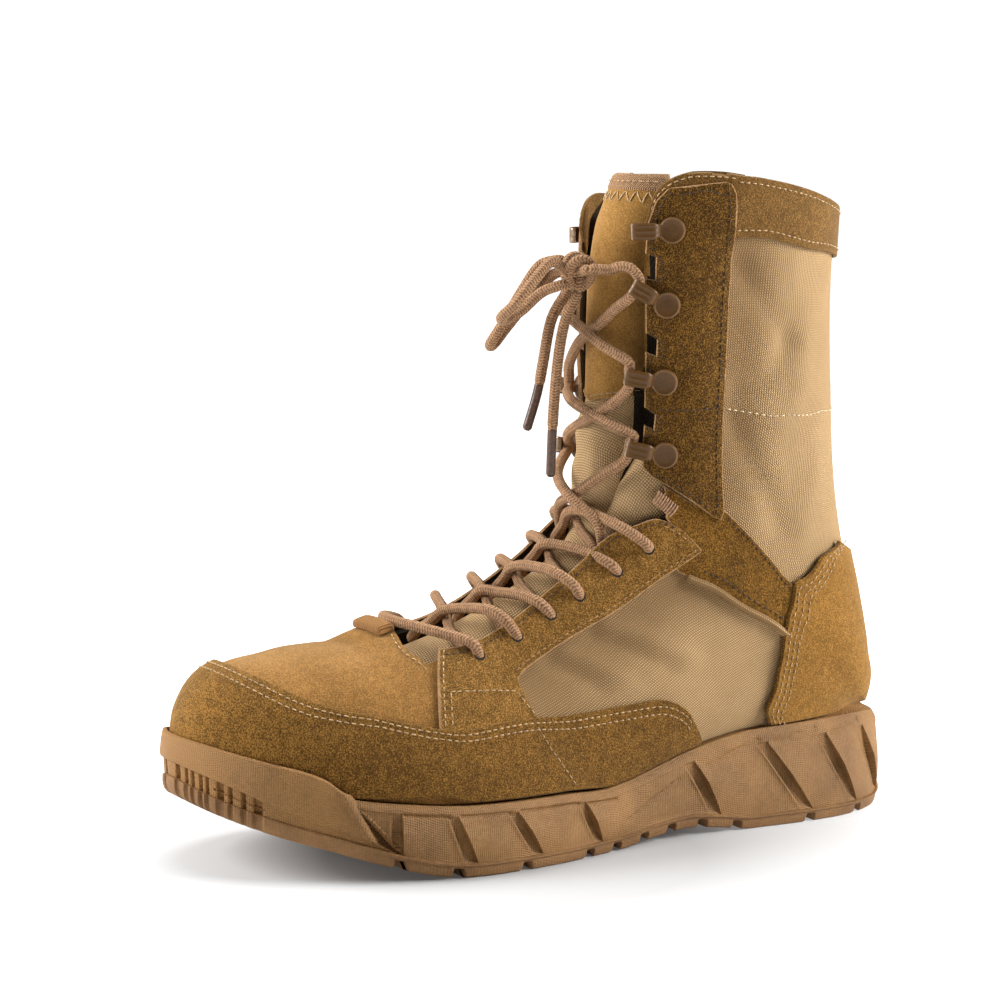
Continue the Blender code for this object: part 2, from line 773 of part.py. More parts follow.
def bumper_rings(grow):
    """Rings of the toe bumper's band; grow widens it for the pocket that it sits in."""
    steps = 25
    outer_part = FINE_LOOP[: TIP_INDEX + 1]
    rows_y = [row[0] for row in BUMPER]
    marks = (
        # share of height below ledge, share above ledge, inset
        (0.0, 0.0, 1.0 - grow * 10),
        (0.85, 0.0, 0.4 - grow * 10),
        (1.0, 0.0, 0.0 - grow * 10),
        (1.0, 0.55, 0.5 - grow * 10),
        (1.0, 1.0, 1.1 - grow * 10),
        (1.0, 1.0, 2.3 + grow * 2),
        (0.0, 0.0, 4.1 + grow * 2),
    )
    rings = np.zeros((steps, len(marks), 3))
    for k, (below, above, inset) in enumerate(marks):
        loop = inset_loop(FINE_LOOP, inset)
        height = 0.5 * below + 0.5 * above
        end_y = BUMPER_END_LOW + (BUMPER_END_TOP - BUMPER_END_LOW) * height + grow * 11
        first = np.interp(-end_y, -outer_part[:, 1], np.arange(len(outer_part)))
        inner_part = FINE_LOOP[TIP_INDEX:]
        last = TIP_INDEX + np.interp(end_y, inner_part[:, 1], np.arange(len(inner_part)))
        at = np.linspace(first, last, steps)
        x = np.interp(at, np.arange(len(loop)), loop[:, 0])
        y = np.interp(at, np.arange(len(loop)), loop[:, 1])
        base = np.interp(at, np.arange(len(loop)), FINE_LOOP[:, 1])
        low = ground(base) + OUTSOLE_THICK + 0.3 - grow * 4
        ledge = pchip(base, rows_y, [row[1] for row in BUMPER])
        top = pchip(base, rows_y, [row[2] for row in BUMPER]) + grow * 4
        z = low + (ledge - low) * below + (top - ledge) * above
        rings[:, k] = np.stack([x, y, z], axis=1)
    return rings


def wall_frame(y, side):
    """Place and outward direction of the sole's side at a station."""
    x = float(edge_at(FINE_LOOP, y, side))
    step = float(edge_at(FINE_LOOP, y + 2.0, side)) - float(edge_at(FINE_LOOP, y - 2.0, side))
    outward = np.array([side * 4.0, -side * step, 0.0])
    return x, outward / np.linalg.norm(outward)


def build_midsole(made):
    """Rubber side wall between tread and upper, with slanted grooves and a pocket for the bumper."""
    loop = plan_loop(SOLE_STEPS)
    y = loop[:, 1]
    low = ground(y) + OUTSOLE_THICK + 0.3
    loops = []
    for level, draw in ((0.0, 0.8), (0.25, 0.0), (0.65, 0.6), (0.93, 2.0), (1.0, 3.0)):
        flat = inset_loop(loop, draw)
        high = sole_top(flat[:, 1])
        loops.append(np.column_stack([flat, low + (high - low) * level]))
    body = slab("midsole", loops, made)
    items = []
    for side in (1, -1):
        for top_y, low_y in SIDE_GROOVES:
            middle = (top_y + low_y) / 2
            x, outward = wall_frame(middle, side)
            bottom = float(ground(low_y)) + OUTSOLE_THICK + 2.2
            top = float(sole_top(top_y)) - 3.0
            along = np.array([0.0, top_y - low_y, top - bottom])
            along -= outward * along.dot(outward)
            reach = np.linalg.norm(along) / 2
            along /= 2 * reach
            across = np.cross(outward, along)
            centre = np.array([x, middle, (bottom + top) / 2]) + outward * 0.4
            items.append((centre, (outward, along, across), (2.4, reach, 1.2)))
    cutters = [boxes("side_grooves", items), sweep_rings("bumper_pocket", bumper_rings(0.3), made, fan=True)]
    return combine(body, cutters, "DIFFERENCE")


def build_outsole(made):
    """Tread layer that follows the sole's rocker, with channels that part it into lugs."""
    loop = plan_loop(SOLE_STEPS)
    y = loop[:, 1]
    loops = []
    for level, draw in ((0.0, 2.2), (0.4, 0.8), (1.0, 0.6)):
        flat = inset_loop(loop, draw)
        loops.append(np.column_stack([flat, ground(y) + OUTSOLE_THICK * level]))
    body = slab("outsole", loops, made)
    items = []
    for station, width in TREAD_CHANNELS:
        slope = float(ground(station + 2.0) - ground(station - 2.0)) / 4.0
        along = np.array([0.0, 1.0, slope]) / math.hypot(1.0, slope)
        across = np.array([1.0, 0.0, 0.0])
        up = np.cross(across, along)
        centre = np.array([0.0, station, float(ground(station))])
        items.append((centre, (across, along, up), (70.0, width / 2, CHANNEL_DEPTH)))
    return combine(body, [boxes("tread_channels", items)], "DIFFERENCE")


def build_insole(made):
    """Footbed on the sole's top, inside the upper."""
    loop = plan_loop(INSOLE_STEPS)
    flat = inset_loop(loop, feather_inset(loop[:, 1]) + WALL + 1.8)
    z = sole_top(flat[:, 1]) + SOLE_GAP
    loops = [np.column_stack([flat, z]), np.column_stack([flat, z + INSOLE_THICK])]
    return slab("insole", loops, made)


def polyline(points, at):
    points = np.asarray(points, float)
    number = np.arange(len(points))
    return np.stack([np.interp(at, number, points[:, c]) for c in range(points.shape[1])], axis=-1)


def patch(name, edges, side, steps, across, low, high, made):
    """Overlay between two edges on the upper: each row of edges holds one (row, q) on either edge."""
    table = np.asarray(edges, float)
    at = np.linspace(0, len(table) - 1, steps)
    ends = polyline(table, at)
    share = np.linspace(0, 1, across)[None, :]
    u = ends[:, 0:1] + (ends[:, 2:3] - ends[:, 0:1]) * share
    q = side * (ends[:, 1:2] + (ends[:, 3:4] - ends[:, 1:2]) * share)
    outside = skin(u, q, np.full(u.shape, high)).reshape(-1, 3)
    inside = skin(u, q, np.full(u.shape, low)).reshape(-1, 3)
    return shell(name, outside, inside, grid_quads(steps, across), made)


def build_rand(made):
    """Suede mudguard round the toe, from the sole up to its stitched top edge."""
    half = np.asarray(RAND, float)
    other = half[::-1][1:].copy()
    other[:, (1, 3)] *= -1
    return patch("toe_rand", np.vstack([half, other]), 1, 39, 5, GAP + 0.4, GAP + 0.4 + SUEDE, made)


def build_counter(made):
    """Suede cup round the heel, from one front edge round the back to the other."""
    rise = np.linspace(0, 1, 8)
    front = polyline(COUNTER_EDGE, rise * (len(COUNTER_EDGE) - 1))
    back = COUNTER_LOW_ROW + (COUNTER_TOP_ROW - COUNTER_LOW_ROW) * rise
    share = 1 - (1 - np.linspace(0, 1, 10)) ** 1.6
    u = front[:, 0:1] + (back[:, None] - front[:, 0:1]) * share
    q = front[:, 1:2] + (1 - front[:, 1:2]) * share ** (1 + 9 * (1 - rise[:, None]) ** 4)
    u = np.hstack([u, u[:, ::-1][:, 1:]])
    q = np.hstack([q, -q[:, ::-1][:, 1:]])
    outside = skin(u, q, np.full(u.shape, GAP + 0.9 + SUEDE)).reshape(-1, 3)
    inside = skin(u, q, np.full(u.shape, GAP + 0.9)).reshape(-1, 3)
    return shell("heel_counter", outside, inside, grid_quads(*u.shape), made)


def build_collar(made):
    """Suede band round the collar, from one hook flap round the back to the other."""
    half = np.asarray(COLLAR, float)
    ends = polyline(half, np.linspace(0, len(half) - 1, 12))
    share = np.linspace(0, 1, 3)[None, :]
    u = ends[:, 0:1] + (ends[:, 2:3] - ends[:, 0:1]) * share
    q = ends[:, 1:2] + (ends[:, 3:4] - ends[:, 1:2]) * share
    u = np.vstack([u, u[::-1][1:]])
    q = np.vstack([q, -q[::-1][1:]])
    outside = skin(u, q, np.full(u.shape, GAP + SUEDE)).reshape(-1, 3)
    inside = skin(u, q, np.full(u.shape, GAP)).reshape(-1, 3)
    return shell("collar_band", outside, inside, grid_quads(*u.shape), made)


def surface_frame(u, q, lift):
    """A place on the upper with its outward, throatward and upward directions."""
    u, q = np.float64(u), np.float64(q)
    normal = last_normal(u, q)
    inward = last_point(u, q - 0.01 * np.sign(q)) - last_point(u, q + 0.01 * np.sign(q))
    inward -= normal * inward.dot(normal)
    inward /= np.linalg.norm(inward)
    up = np.cross(normal, inward)
    up *= np.sign(up[2]) or 1.0
    return last_point(u, q) + normal * lift, normal, inward, up


def prism(name, outline, origin, first, second, third, half, made):
    """Solid from an outline in two directions, spread both ways along the third."""
    outline = np.asarray(outline, float)
    flat = origin + outline[:, 0:1] * first + outline[:, 1:2] * second
    return sweep_rings(name, np.stack([flat - third * half, flat + third * half]), made)


def build_hook(name, u, q, made):
    """Lace hook: a plate under a rivet head that rises and runs over the lace to a turned-down lip."""
    origin, normal, inward, up = surface_frame(u, q, GAP + SUEDE + 0.35)
    tip, neck, plate, rise = HOOK_REACH, HOOK_NECK, HOOK_PLATE, HOOK_RISE
    outline = (
        (-3.5, 0.0),
        (neck + plate, 0.0),
        (neck + 2 * plate, rise - plate),
        (tip - plate, rise - plate),
        (tip - plate, rise - HOOK_LIP),
        (tip, rise - HOOK_LIP),
        (tip, rise),
        (neck + plate, rise),
        (neck, plate),
        (-3.5, plate),
    )
    body = prism(name, outline, origin, inward, normal, up, HOOK_WIDTH / 2, made)
    turn = np.linspace(0, 2 * math.pi, 8, endpoint=False)
    disc = np.stack([np.cos(turn), np.sin(turn)], axis=1) * RIVET_DIAMETER / 2
    head = prism("rivet", disc, origin + normal * 1.2, inward, up, normal, 0.9, made)
    return combine(body, [head], "UNION")


def cord(name, route, diameter, made):
    """Free round cord along a route, with flat ends."""
    curve = bpy.data.curves.new(name, "CURVE")
    curve.dimensions = "3D"
    curve.bevel_depth = diameter / 2 * MM
    curve.bevel_resolution = 1
    curve.use_fill_caps = True
    spline = curve.splines.new("POLY")
    spline.points.add(len(route) - 1)
    for point, place in zip(spline.points, (route + ORIGIN_SHIFT) * MM):
        point.co = (*place, 1.0)
    return add_object(name, curve, made)


def tube(name, route, radius, sides, made):
    """Round strand along a route, with flat ends."""
    route = np.asarray(route, float)
    along = np.gradient(route, axis=0)
    along /= np.linalg.norm(along, axis=1)[:, None]
    side_way = np.cross(along[0], [0.0, 0.0, 1.0])
    if np.linalg.norm(side_way) < 0.2:
        side_way = np.cross(along[0], [1.0, 0.0, 0.0])
    turn = np.linspace(0, 2 * math.pi, sides, endpoint=False)
    rings = []
    for place, way in zip(route, along):
        side_way = side_way - way * side_way.dot(way)
        side_way /= np.linalg.norm(side_way)
        third = np.cross(way, side_way)
        rings.append(place + radius * (np.cos(turn)[:, None] * side_way + np.sin(turn)[:, None] * third))
    return sweep_rings(name, rings, made)


def knot_places(marks):
    """Places measured from the knot: ahead, up and to the outer side."""
    marks = np.asarray(marks, float)
    knot = skin(np.float64(KNOT[0]), np.float64(KNOT[1]), np.float64(KNOT[2]))
    ahead = np.array([-0.30, -0.954, 0.0])
    outer = np.array([0.954, -0.30, 0.0])
    return knot + marks[:, 0:1] * ahead + marks[:, 1:2] * np.array([0.0, 0.0, 1.0]) + marks[:, 2:3] * outer


def strand_route(start, end, lift, steps):
    """Cord from one lace place to another across the throat."""
    (u0, q0), (u1, q1) = start, end
    marks = []
    for share, sink in ((0.0, 0.0), (0.17, 0.0), (0.5, LACE_SINK), (0.83, 0.0), (1.0, 0.0)):
        u, q = u0 + (u1 - u0) * share, q0 + (q1 - q0) * share
        marks.append(skin(np.float64(u), np.float64(q), np.float64(lift - sink)))
    return through(marks, np.linspace(0, 4, steps))


def build_crossings(made):
    """All lace strands across the throat, joined where they cross and where they turn."""
    places = [(u, q) for u, q in LACE_HOLES] + [(u, q - HOOK_LACE_SHIFT) for u, q in HOOKS[:3]]
    lift = GAP + SUEDE + LACE_CLEARANCE + LACE_DIAMETER / 2
    strands = [((places[0][0], places[0][1]), (places[0][0], -places[0][1]))]
    for low, high in zip(places, places[1:]):
        strands.append(((low[0], low[1]), (high[0], -high[1])))
        strands.append(((low[0], -low[1]), (high[0], high[1])))
    made_of = []
    for number, (start, end) in enumerate(strands):
        made_of.append(tube(f"strand_{number}", strand_route(start, end, lift, 5), LACE_DIAMETER / 2, 5, made))
    row, q = places[-1]
    for side, marks in ((1, KNOT_LEAD_OUTER), (-1, KNOT_LEAD_INNER)):
        hook = skin(np.float64(row), np.float64(side * q), np.float64(lift))
        route = through(np.vstack([hook, knot_places(marks)]), np.linspace(0, len(marks), 4))
        made_of.append(tube("knot_lead", route, LACE_DIAMETER / 2, 5, made))
    body = made_of[0]
    body.name = "lace_crossings"
    return combine(body, made_of[1:], "UNION")


def free_route(marks, steps):
    """Smooth cord through marks that are measured from the knot."""
    return through(knot_places(marks), np.linspace(0, len(marks) - 1, steps))


for old in list(bpy.data.objects):
    bpy.data.objects.remove(old, do_unlink=True)

NYLON = material("nylon", (0.40, 0.29, 0.17), 0.8)
SUEDE_BROWN = material("suede", (0.27, 0.15, 0.045), 0.9)
RUBBER = material("rubber", (0.36, 0.22, 0.11), 0.6)
FOAM = material("insole_foam", (0.25, 0.18, 0.11), 0.9)
METAL = material("hook_metal", (0.14, 0.09, 0.05), 0.4, 0.8)
BRAID = material("lace_braid", (0.30, 0.18, 0.11), 0.8)
WEBBING = material("webbing", (0.25, 0.13, 0.04), 0.8)

build_upper(NYLON)
build_tongue(SUEDE_BROWN)
build_insole(FOAM)
build_midsole(RUBBER)
build_outsole(RUBBER)
sweep_rings("toe_bumper", bumper_rings(0.0), RUBBER, fan=True)
build_rand(SUEDE_BROWN)
build_counter(SUEDE_BROWN)
build_collar(SUEDE_BROWN)
patch("throat_loop", THROAT_LOOP, 1, 4, 5, GAP, GAP + LOOP_THICK, WEBBING)
for side, name in ((1, "outer"), (-1, "inner")):
    patch(f"eyestay_{name}", EYESTAY, side, 16, 5, GAP, GAP + SUEDE, SUEDE_BROWN)
    patch(f"hook_flap_{name}", FLAP, side, 18, 4, GAP, GAP + SUEDE, SUEDE_BROWN)
    patch(f"ankle_strap_{name}", STRAP, side, 8, 4, GAP, GAP + SUEDE, SUEDE_BROWN)
    for number, (row, q) in enumerate(HOOKS, 1):
        build_hook(f"hook_{name}_{number}", row, side * q, METAL)
build_crossings(BRAID)
cord("lace_knot", free_route(KNOT_MARKS, 4), KNOT_DIAMETER, BRAID)
cord("lace_loop_outer", free_route(LOOP_OUTER, 13), LACE_DIAMETER, BRAID)
cord("lace_loop_inner", free_route(LOOP_INNER, 13), LACE_DIAMETER, BRAID)
cord("lace_end_outer", free_route(END_OUTER, 9), LACE_DIAMETER, BRAID)
cord("lace_end_inner", free_route(END_INNER, 8), LACE_DIAMETER, BRAID)
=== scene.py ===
# %% [markdown]
# # Tactical desert boot
# A tall lace-up boot in tan suede and nylon, seen from its outer side. The rigid part is loaded first;
# each later cell makes one piece the way a shoemaker would, finer than the part and in the same place.
# Nearly everything is worked out from short tables of sizes, so a change to one row moves leather,
# cloth and stitches together.

import math

import bpy
import numpy as np
from mathutils import Matrix


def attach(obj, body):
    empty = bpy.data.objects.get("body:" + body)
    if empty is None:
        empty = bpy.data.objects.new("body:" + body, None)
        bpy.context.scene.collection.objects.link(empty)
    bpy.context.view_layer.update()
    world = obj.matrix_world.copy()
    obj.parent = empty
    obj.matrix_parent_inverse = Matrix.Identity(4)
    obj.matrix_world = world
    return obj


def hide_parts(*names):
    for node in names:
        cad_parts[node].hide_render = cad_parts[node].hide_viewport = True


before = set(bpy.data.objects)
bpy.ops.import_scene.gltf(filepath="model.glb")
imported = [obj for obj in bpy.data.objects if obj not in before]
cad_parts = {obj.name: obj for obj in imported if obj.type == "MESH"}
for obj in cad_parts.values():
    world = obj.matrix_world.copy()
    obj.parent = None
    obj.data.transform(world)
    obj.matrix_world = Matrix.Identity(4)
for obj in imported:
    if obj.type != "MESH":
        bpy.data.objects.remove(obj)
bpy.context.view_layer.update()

# %% [markdown]
# The camera stands about a metre off, ahead of the ball of the foot and a little over the boot. A Track
# To constraint could aim it, but leaves no hold on its roll. Here its axes come from yaw, pitch and
# roll, which were found by laying the part over the photo until the sole, the collar and the toe
# agreed. A long lens keeps the toe and the heel near the same scale.

# %% Camera
CAMERA_AT = (0.9386, -0.55745, 0.2626)
CAMERA_YAW, CAMERA_PITCH, CAMERA_ROLL = (math.radians(turn) for turn in (60.29, 7.06, 0.74))
LENS, SENSOR_WIDTH = 104.3, 36.0


def camera_axes():
    ahead = np.array(
        [
            -math.sin(CAMERA_YAW) * math.cos(CAMERA_PITCH),
            math.cos(CAMERA_YAW) * math.cos(CAMERA_PITCH),
            -math.sin(CAMERA_PITCH),
        ]
    )
    right = np.cross(ahead, (0.0, 0.0, 1.0))
    right /= np.linalg.norm(right)
    up = np.cross(right, ahead)
    c, s = math.cos(CAMERA_ROLL), math.sin(CAMERA_ROLL)
    return c * right + s * up, -s * right + c * up, ahead


right, up, ahead = camera_axes()
camera_data = bpy.data.cameras.new("camera")
camera_data.lens = LENS
camera_data.sensor_width = SENSOR_WIDTH
camera = bpy.data.objects.new("camera", camera_data)
camera.matrix_world = Matrix(
    [(right[i], up[i], -ahead[i], CAMERA_AT[i]) for i in range(3)] + [(0.0, 0.0, 0.0, 1.0)]
)
bpy.context.scene.collection.objects.link(camera)
bpy.context.scene.camera = camera
print("camera", CAMERA_AT)

# %% [markdown]
# A studio lights a product with soft boxes, wide even lamps whose shadows are soft. Point lamps would
# draw hard shadows of the lace, so area lights in the shape of a disc are used. Two stand left and
# right of the frame and one hangs overhead: the top of the foot and the edges are bright, and the side
# that faces the camera is darker.

# %% Soft boxes
LIGHTS = (
    # place, aim, size, watts
    ((-0.50, -1.08, 0.75), (0.0, -0.05, 0.08), 0.8, 26.0),
    ((0.65, 1.00, 0.65), (0.0, 0.06, 0.12), 0.7, 26.5),
    ((-0.25, 0.05, 1.30), (0.0, 0.0, 0.10), 0.9, 15.0),
)


def add_light(number, place, aim, size, watts):
    data = bpy.data.lights.new(f"soft_box_{number}", "AREA")
    data.shape = "DISK"
    data.size = size
    data.energy = watts
    light = bpy.data.objects.new(data.name, data)
    back = np.array(place) - np.array(aim)
    back /= np.linalg.norm(back)
    side_way = np.cross((0.0, 0.0, 1.0), back)
    side_way /= np.linalg.norm(side_way)
    rise = np.cross(back, side_way)
    rows = [(side_way[i], rise[i], back[i], place[i]) for i in range(3)]
    light.matrix_world = Matrix(rows + [(0.0, 0.0, 0.0, 1.0)])
    bpy.context.scene.collection.objects.link(light)


for number, values in enumerate(LIGHTS):
    add_light(number, *values)
print("lights", len(LIGHTS))

# %% [markdown]
# Backdrop and floor are white paper. A sweep of paper could be one curved sheet, but it would light the
# leather from below. Here the world is white behind the boot alone and dim all round, and the floor is
# a flat sheet that belongs to the stage.

# %% Backdrop and floor
SKY_FILL, SKY_WHITE = 0.08, 1.05
SKY_EDGE = (0.88, 0.95)
FLOOR_HALF = 6.0


def make_sky():
    """Dim all round, with a white backdrop behind the boot."""
    world = bpy.data.worlds.new("studio")
    world.use_nodes = True
    tree = world.node_tree
    where = tree.nodes.new("ShaderNodeTexCoord")
    facing = tree.nodes.new("ShaderNodeVectorMath")
    facing.operation = "DOT_PRODUCT"
    facing.inputs[1].default_value = tuple(ahead)
    spread = tree.nodes.new("ShaderNodeMapRange")
    for socket, value in zip(("From Min", "From Max", "To Min", "To Max"), (*SKY_EDGE, SKY_FILL, SKY_WHITE)):
        spread.inputs[socket].default_value = value
    tree.links.new(where.outputs["Generated"], facing.inputs[0])
    tree.links.new(facing.outputs["Value"], spread.inputs["Value"])
    tree.links.new(spread.outputs[0], tree.nodes["Background"].inputs["Strength"])
    tree.nodes["Background"].inputs["Color"].default_value = (1.0, 1.0, 1.0, 1.0)
    bpy.context.scene.world = world


make_sky()
bpy.context.scene.view_settings.view_transform = "Standard"
floor_mesh = bpy.data.meshes.new("floor")
corners = [(-FLOOR_HALF, -FLOOR_HALF, 0.0), (FLOOR_HALF, -FLOOR_HALF, 0.0)]
corners += [(FLOOR_HALF, FLOOR_HALF, 0.0), (-FLOOR_HALF, FLOOR_HALF, 0.0)]
floor_mesh.from_pydata(corners, [], [(0, 1, 2, 3)])
floor = bpy.data.objects.new("floor", floor_mesh)
bpy.context.scene.collection.objects.link(floor)
print("floor", 2 * FLOOR_HALF, "m wide")

# %% [markdown]
# A boot is built round a last, a block with the shape of the foot. It could be sculpted, but the short
# tables that shaped the part shape every piece here too, so leather, cloth and stitches lie on one
# surface. Sizes are in millimetres. The row `u` is the number of a section from the toe (0) to the
# collar (20), and `q` runs from the front line (0) to the sole or the back (1), positive on the outer
# side.

# %% Sizes of the last
MM = 0.001
ORIGIN_SHIFT = np.array([-1.5, -2.75, 0.0])
HEEL_END, TOE_END, TIP_SKEW = 154.5, -149.0, -11.0
WALL, GAP, SUEDE, SOLE_GAP = 2.2, 0.6, 1.4, 0.8
OUTSOLE_THICK = 5.0
FEATHER_INSET, HEEL_INSET = 6.5, 13.0
HEEL_ROW, THROAT_ROW, COLLAR_ROW = 13.0, 6.85, 20.0
HEEL_ROUND_Y = 106.0
PLAN = (
    # y, outer edge, inner edge
    (149.5, 17.0, -17.0), (140.0, 27.5, -27.5), (123.0, 35.5, -34.5), (100.0, 38.5, -37.5),
    (70.0, 38.5, -35.5), (40.0, 40.0, -33.5), (10.0, 45.5, -36.0), (-20.0, 53.0, -43.5),
    (-48.0, 56.0, -50.0), (-72.0, 53.5, -53.0), (-98.0, 44.8, -51.3), (-118.0, 33.5, -46.8),
    (-133.0, 21.0, -39.5), (-143.5, 7.5, -30.0),
)
PROFILE = (
    # y, height of the tread, height of the sole's top edge
    (154.5, 5.0, 36.5), (147.0, 1.5, 37.5), (138.0, 0.0, 39.0), (124.0, 0.0, 39.8), (104.0, 0.0, 39.2),
    (75.0, 0.0, 38.0), (60.0, 2.0, 35.8), (45.0, 3.5, 32.4), (30.0, 2.5, 28.3), (14.0, 0.5, 24.6),
    (4.0, 0.0, 23.4), (-16.0, 0.0, 24.6), (-40.0, 0.0, 25.0), (-56.0, 0.0, 25.3), (-68.0, 1.0, 25.9),
    (-80.0, 3.5, 26.9), (-93.0, 7.0, 28.2), (-105.0, 10.8, 30.0), (-120.0, 15.2, 33.0),
    (-133.0, 19.8, 36.0), (-143.0, 24.2, 38.4), (-152.0, 29.5, 40.5),
)
SECTIONS = (
    # front y, front z, rear y, rear z, half width, widest, front power, rear power, bow
    (-142.3, 40.2, -102.0, 0.0, 40.2, 2.10, 2.00, 2.0, 0.0),
    (-143.3, 48.0, -97.0, 0.0, 41.8, 2.00, 2.05, 2.0, 0.0),
    (-140.8, 58.0, -91.0, 0.0, 43.4, 1.70, 2.15, 2.0, 0.0),
    (-133.3, 67.5, -83.0, 0.0, 45.2, 1.40, 2.25, 2.0, 0.0),
    (-121.0, 72.5, -73.0, 0.0, 46.9, 1.15, 2.30, 2.0, 0.0),
    (-103.0, 75.0, -60.0, 0.0, 47.5, 0.98, 2.35, 2.0, 0.0),
    (-83.0, 78.5, -43.0, 0.0, 46.2, 0.92, 2.30, 2.0, 0.0),
    (-62.0, 84.5, -22.0, 0.0, 42.6, 0.88, 2.20, 2.0, 0.0),
    (-40.0, 93.0, 3.0, 0.0, 37.2, 0.84, 2.10, 2.0, 0.0),
    (-19.0, 104.0, 30.0, 0.0, 34.5, 0.78, 2.05, 2.0, 0.0),
    (-1.0, 116.0, 60.0, 0.0, 35.0, 0.72, 2.00, 2.1, 0.0),
    (11.0, 129.0, 92.0, 0.0, 36.0, 0.66, 2.00, 2.2, 0.0),
    (17.0, 141.0, 120.0, 0.0, 37.0, 0.62, 2.10, 2.4, 0.0),
    (19.5, 151.0, 141.5, 40.0, 37.5, 0.60, 2.15, 2.5, 0.0),
    (20.5, 160.0, 141.6, 58.0, 37.5, 0.58, 2.20, 2.5, 0.0),
    (21.0, 170.0, 137.0, 82.0, 38.0, 0.55, 2.20, 2.4, 0.0),
    (21.0, 182.0, 130.5, 108.0, 38.5, 0.52, 2.20, 2.3, 0.0),
    (21.0, 195.0, 127.0, 133.0, 39.0, 0.50, 2.20, 2.2, 0.0),
    (21.0, 210.0, 124.6, 163.0, 39.5, 0.50, 2.10, 2.2, 1.0),
    (21.0, 230.0, 122.8, 199.0, 40.0, 0.50, 2.00, 2.2, 2.5),
    (21.0, 251.0, 124.0, 238.5, 40.0, 0.50, 2.00, 2.2, 4.0),
)
FRONT_LINE = (
    # row, front line x, half opening
    (0.0, -11.0, 0.0), (4.0, -11.0, 0.0), (5.0, -10.0, 0.0), (6.0, -8.0, 0.0), (6.85, -6.4, 0.0),
    (6.91, -6.2, 13.0), (7.05, -5.9, 24.0), (7.5, -5.0, 24.5), (8.0, -4.0, 23.0), (9.0, -2.5, 20.5),
    (10.0, -1.5, 19.5), (10.6, -1.2, 20.0), (11.3, -1.0, 23.5), (12.0, -0.5, 26.0), (13.0, 0.0, 23.0),
    (14.0, 0.0, 22.5), (19.0, 0.0, 22.5), (19.5, 0.0, 25.0), (19.8, 0.0, 29.0), (20.0, 0.0, 34.0),
)
print("sections", len(SECTIONS), "outline stations", len(PLAN))

# %% [markdown]
# A few stations have to become smooth lines. Blender's curves draw such lines, but can't be asked for a
# height at a station. Two formulas serve instead: one that never overshoots its stations, for heights
# and widths, and one that runs evenly through points, for outlines and laces.

# %% Smooth curves
def pchip(at, stations, values):
    """Smooth curve through the stations that never overshoots them."""
    x, v = np.asarray(stations, float), np.asarray(values, float)
    if x[0] > x[-1]:
        x, v = x[::-1], v[::-1]
    step = np.diff(x)
    rise = np.diff(v) / step
    slope = np.zeros_like(v)
    slope[0], slope[-1] = rise[0], rise[-1]
    before, after = rise[:-1], rise[1:]
    same = before * after > 0
    w1, w2 = 2 * step[1:] + step[:-1], step[1:] + 2 * step[:-1]
    slope[1:-1][same] = ((w1 + w2)[same]) / (w1[same] / before[same] + w2[same] / after[same])
    at = np.clip(np.asarray(at, float), x[0], x[-1])
    k = np.clip(np.searchsorted(x, at, side="right") - 1, 0, len(x) - 2)
    f = (at - x[k]) / step[k]
    low, high = (1 + 2 * f) * (1 - f) ** 2, f * f * (3 - 2 * f)
    lead_in, lead_out = f * (1 - f) ** 2 * slope[k], f * f * (f - 1) * slope[k + 1]
    return low * v[k] + high * v[k + 1] + step[k] * (lead_in + lead_out)


def column(table, number):
    return [row[number] for row in table]


def through(points, at):
    """Catmull-Rom curve through evenly numbered points, read at fractional numbers."""
    p = np.asarray(points, float)
    p = np.vstack([2 * p[0] - p[1], p, 2 * p[-1] - p[-2]])
    at = np.asarray(at, float)
    k = np.clip(np.floor(at).astype(int), 0, len(p) - 4)
    f = (at - k)[..., None]
    a, b, c, d = p[k], p[k + 1], p[k + 2], p[k + 3]
    return 0.5 * (2 * b + (c - a) * f + (2 * a - 5 * b + 4 * c - d) * f**2 + (3 * b - a - 3 * c + d) * f**3)


print("halfway from 0 over 1 to 4:", float(pchip(1.5, (0, 1, 2), (0, 1, 4))))

# %% [markdown]
# Seen from above, a sole is full on the outer side, hollow at the arch and turned in at the tip. It
# could be traced with a curve by hand; worked out from the stations, the same line moved inward also
# gives the edge where the upper meets the sole.

# %% Outline of the sole
def ground(y):
    return pchip(y, column(PROFILE, 0), column(PROFILE, 1))


def sole_top(y):
    return pchip(y, column(PROFILE, 0), column(PROFILE, 2))


def plan_loop(count):
    """Closed outline of the sole, from the heel along the outer side to the tip and back."""
    knots = [(0.0, HEEL_END)] + [(outer, y) for y, outer, inner in PLAN]
    knots += [(TIP_SKEW, TOE_END)] + [(inner, y) for y, outer, inner in reversed(PLAN)]
    knots = np.array(knots, float)
    wrapped = np.vstack([knots[-2:], knots, knots[:3]])
    return through(wrapped, np.linspace(0, len(knots), count, endpoint=False) + 2)


def inset_loop(loop, inset):
    """The outline moved inward by an amount, one for all points or one for each."""
    tangent = np.roll(loop, -1, axis=0) - np.roll(loop, 1, axis=0)
    tangent /= np.linalg.norm(tangent, axis=1)[:, None]
    inward = np.stack([tangent[:, 1], -tangent[:, 0]], axis=1)
    return loop + inward * np.broadcast_to(inset, len(loop))[:, None]


FINE_LOOP = plan_loop(720)
TIP_INDEX = int(np.argmin(FINE_LOOP[:, 1]))
FEATHER_STATIONS = (-152.0, 95.0, 147.0, 154.5)
FEATHER_INSETS = (FEATHER_INSET, FEATHER_INSET, HEEL_INSET, HEEL_INSET)
FEATHER = inset_loop(FINE_LOOP, pchip(FINE_LOOP[:, 1], FEATHER_STATIONS, FEATHER_INSETS))


